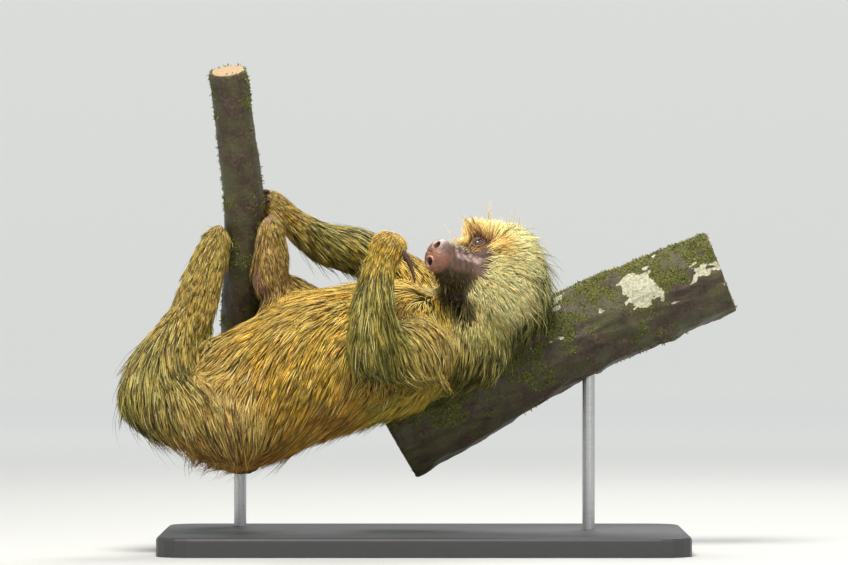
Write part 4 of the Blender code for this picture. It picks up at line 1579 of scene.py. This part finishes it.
def add_perch(finish, moss_finish):
    """The two cut lengths of wood with moss standing on them."""
    for node, (rough, level, tufts) in WOOD.items():
        mesh, moss = bark_mesh(node, rough, level)
        unwrap(mesh)
        wood = add_mesh(f"{node}_bark", mesh, finish)
        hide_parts(node)
        points = coords(mesh)
        data = {"points": points, "normals": vertex_normals(mesh), "owner": np.zeros(len(points), int)}
        area = sum(polygon.area for polygon in mesh.polygons)
        density = moss / max(moss.mean(), 0.01) * tufts / area
        roots = scatter(mesh, density, data, ("points", "normals"))
        add_mesh(f"{node}_moss", moss_locks(roots, f"{node}_moss"), moss_finish)


def moss_locks(roots, name):
    """Short pointed tufts that stand on the bark."""
    count = len(roots["points"])
    normal = unit(roots["normals"])
    heading = unit(normal + 0.55 * rng.standard_normal((count, 3)) + (0, 0, 0.25))
    long = (0.0016 + 0.0026 * rng.random(count) ** 2)[:, None]
    base = roots["points"] - normal * 0.0004
    spine = np.array([base, base + heading * long * 0.55, base + unit(heading + (0, 0, -0.25)) * long])
    across = unit(np.cross(heading, rng.standard_normal((count, 3))))
    lit = np.clip(rng.random(count) * value_noise(roots["points"], 0.014) * 2.2, 0, 1)
    tone = mix((0.050, 0.058, 0.012), (0.30, 0.285, 0.055), lit)
    width = 0.0009 + 0.0006 * rng.random(count)
    part = lock_arrays(spine, np.array([across] * 3), roots, width, 0.7, tone, tone * 0.35)
    return joined_locks(name, [part])


# ---------------------------------------------------------------- eyes and claws
def add_eyes(finish):
    """Smooth eyeballs behind the lids."""
    for side in EYE:
        bm = bmesh.new()
        bmesh.ops.create_icosphere(bm, subdivisions=5, radius=EYE_RADIUS)
        bmesh.ops.translate(bm, verts=bm.verts, vec=Vector(EYE[side]))
        mesh = mesh_from(bm, f"eyeball_{side}")
        mesh.shade_smooth()
        eye = add_mesh(f"eyeball_{side}", mesh, finish)
        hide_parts(f"eye_{side}")


def narrow_root(points, node):
    """A claw's points with its round root drawn in to a point, which the hair hides."""
    start, ahead = claw_line(node)
    inwards = unit(centre("_".join(node.split("_")[1:3])) - start)
    hidden = start + (ahead - start) * 0.5 + inwards * 0.002
    share = 0.20 + 0.80 * smooth_step(0.002, 0.010, np.linalg.norm(points - start, axis=1))
    return mix(hidden, points, share[:, None])


def add_claws(finish):
    """Smooth horn round each claw's solid."""
    for node in CLAWS:
        bm = merged_nodes([node], 0.0001)
        mesh = modified(mesh_from(bm, "horn"), ("SUBSURF", {"levels": 2, "render_levels": 2}))
        if "hand_left" not in node:
            set_coords(mesh, narrow_root(coords(mesh), node))
        mesh.shade_smooth()
        horn = add_mesh(f"horn{node[4:]}", mesh, finish)
        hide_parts(node)


# ---------------------------------------------------------------- light and camera
FLOOR_REACH = 9.0


def stage_finish():
    """Pale matt floor that glows softly towards its far rim."""
    finish = Finish("backdrop", Roughness=0.9, Base_Color=(0.50, 0.50, 0.485, 1), Emission_Strength=1.0)
    reach = finish.node("ShaderNodeVectorMath", {"operation": "LENGTH"}, {0: finish.place()}, output="Value")
    glow = finish.range(reach, 0.5, 4.0)
    finish.set("Emission Color", finish.blend(glow, (0, 0, 0, 1), (0.42, 0.425, 0.415, 1)))
    return finish.material


def add_stage():
    """Plain pale floor, round, with a rim that curves up into a low backdrop on every side."""
    bend, high = 1.6, 2.2
    profile = [(FLOOR_REACH - bend, 0.0)]
    profile += [(FLOOR_REACH - bend + bend * math.sin(a), bend - bend * math.cos(a))
                for a in np.linspace(0, math.pi / 2, 13)[1:]]
    profile.append((FLOOR_REACH, high))
    bm = bmesh.new()
    row = [bm.verts.new((reach, 0.0, height - 0.0005)) for reach, height in [(0.0, 0.0)] + profile]
    edges = [bm.edges.new(pair) for pair in zip(row, row[1:])]
    bmesh.ops.spin(bm, geom=row + edges, axis=(0, 0, 1), cent=(0, 0, 0), angle=math.tau, steps=96,
                   use_merge=True)
    bmesh.ops.remove_doubles(bm, verts=bm.verts, dist=1e-5)
    bmesh.ops.recalc_face_normals(bm, faces=bm.faces)
    mesh = mesh_from(bm, "floor")
    if mesh.polygons[0].normal.z < 0:
        mesh.flip_normals()
    mesh.shade_smooth()
    mesh.materials.append(stage_finish())
    floor = bpy.data.objects.new("floor", mesh)
    bpy.context.collection.objects.link(floor)


def add_light(name, place, target, size, power, colour):
    light = bpy.data.lights.new(name, "AREA")
    light.size = size
    light.energy = power
    light.color = colour
    holder = bpy.data.objects.new(name, light)
    holder.location = place
    holder.rotation_euler = (Vector(target) - Vector(place)).to_track_quat("-Z", "Y").to_euler()
    bpy.context.collection.objects.link(holder)


def add_camera():
    """Level view of the animal's left side."""
    distance, span, height = 5.0, 0.8056, 0.255
    camera = bpy.data.cameras.new("camera")
    camera.sensor_width = 36.0
    camera.lens = camera.sensor_width * distance / span
    camera.clip_end = 50.0
    holder = bpy.data.objects.new("camera", camera)
    holder.location = (0.0, -distance, height)
    holder.rotation_euler = (math.radians(90), 0.0, 0.0)
    bpy.context.collection.objects.link(holder)
    bpy.context.scene.camera = holder


def light_world():
    world = bpy.data.worlds.new("studio")
    bpy.context.scene.world = world
    world.use_nodes = True
    sky = world.node_tree.nodes["Background"]
    sky.inputs["Color"].default_value = (0.90, 0.95, 1.0, 1)
    sky.inputs["Strength"].default_value = 0.42


def grow_fields(data):
    """The fields that the locks are steered by."""
    SPACE["normal"] = gradient(SPACE["skin"])
    SPACE["flow"] = fill_space(data["points"], data["normals"], data["flow"])
    SPACE["perch"] = perch_space()
    SPACE["perch_normal"] = gradient(SPACE["perch"])


def add_skin(skin, data):
    """The bare skin in place of the flesh solids, all but the eyes."""
    paint(skin, "tone", data["tone"])
    local = to_head(data["points"])
    wet = data["face"] * smooth_step(0.004, 0.016, local[:, 0]) * (1 - data["dark"])
    wet = wet * (1 - 0.75 * left_shade(local) * smooth_step(0.044, 0.036, local[:, 0]))
    paint(skin, "wet", np.repeat(np.maximum(wet, data["lid"] * 0.35)[:, None], 3, axis=1))
    skin.shade_smooth()
    body = add_mesh("skin", skin, skin_finish())
    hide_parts(*[node for node in FLESH if not node.startswith("eye_")])


def main():
    """Build every piece, light it and set up the camera."""
    skin, fields = make_skin()
    data = vertex_fields(skin, fields)
    grow_fields(data)
    add_skin(skin, data)
    grow_coat(skin, data, coat_finish())
    add_eyes(eye_finish())
    add_claws(claw_finish())
    add_perch(bark_finish(), moss_finish())
    for node, finish in (("stand_base", stand_finish()), ("stand_rod_branch", rod_finish()),
                         ("stand_rod_limb", rod_finish())):
        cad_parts[node].material_slots[0].material = finish
    add_stage()
    add_light("key", (-0.3, -1.3, 2.3), (0.0, 0.0, 0.25), 0.9, 92.0, (1.0, 0.97, 0.92))
    add_light("fill", (2.0, -2.2, 0.8), (0.0, 0.0, 0.25), 1.8, 9.0, (0.92, 0.96, 1.0))
    add_light("back", (0.5, 1.2, 2.0), (0.0, 0.0, 0.3), 1.0, 42.0, (1.0, 1.0, 0.96))
    light_world()
    bpy.context.scene.view_settings.view_transform = "Standard"
    add_camera()


main()
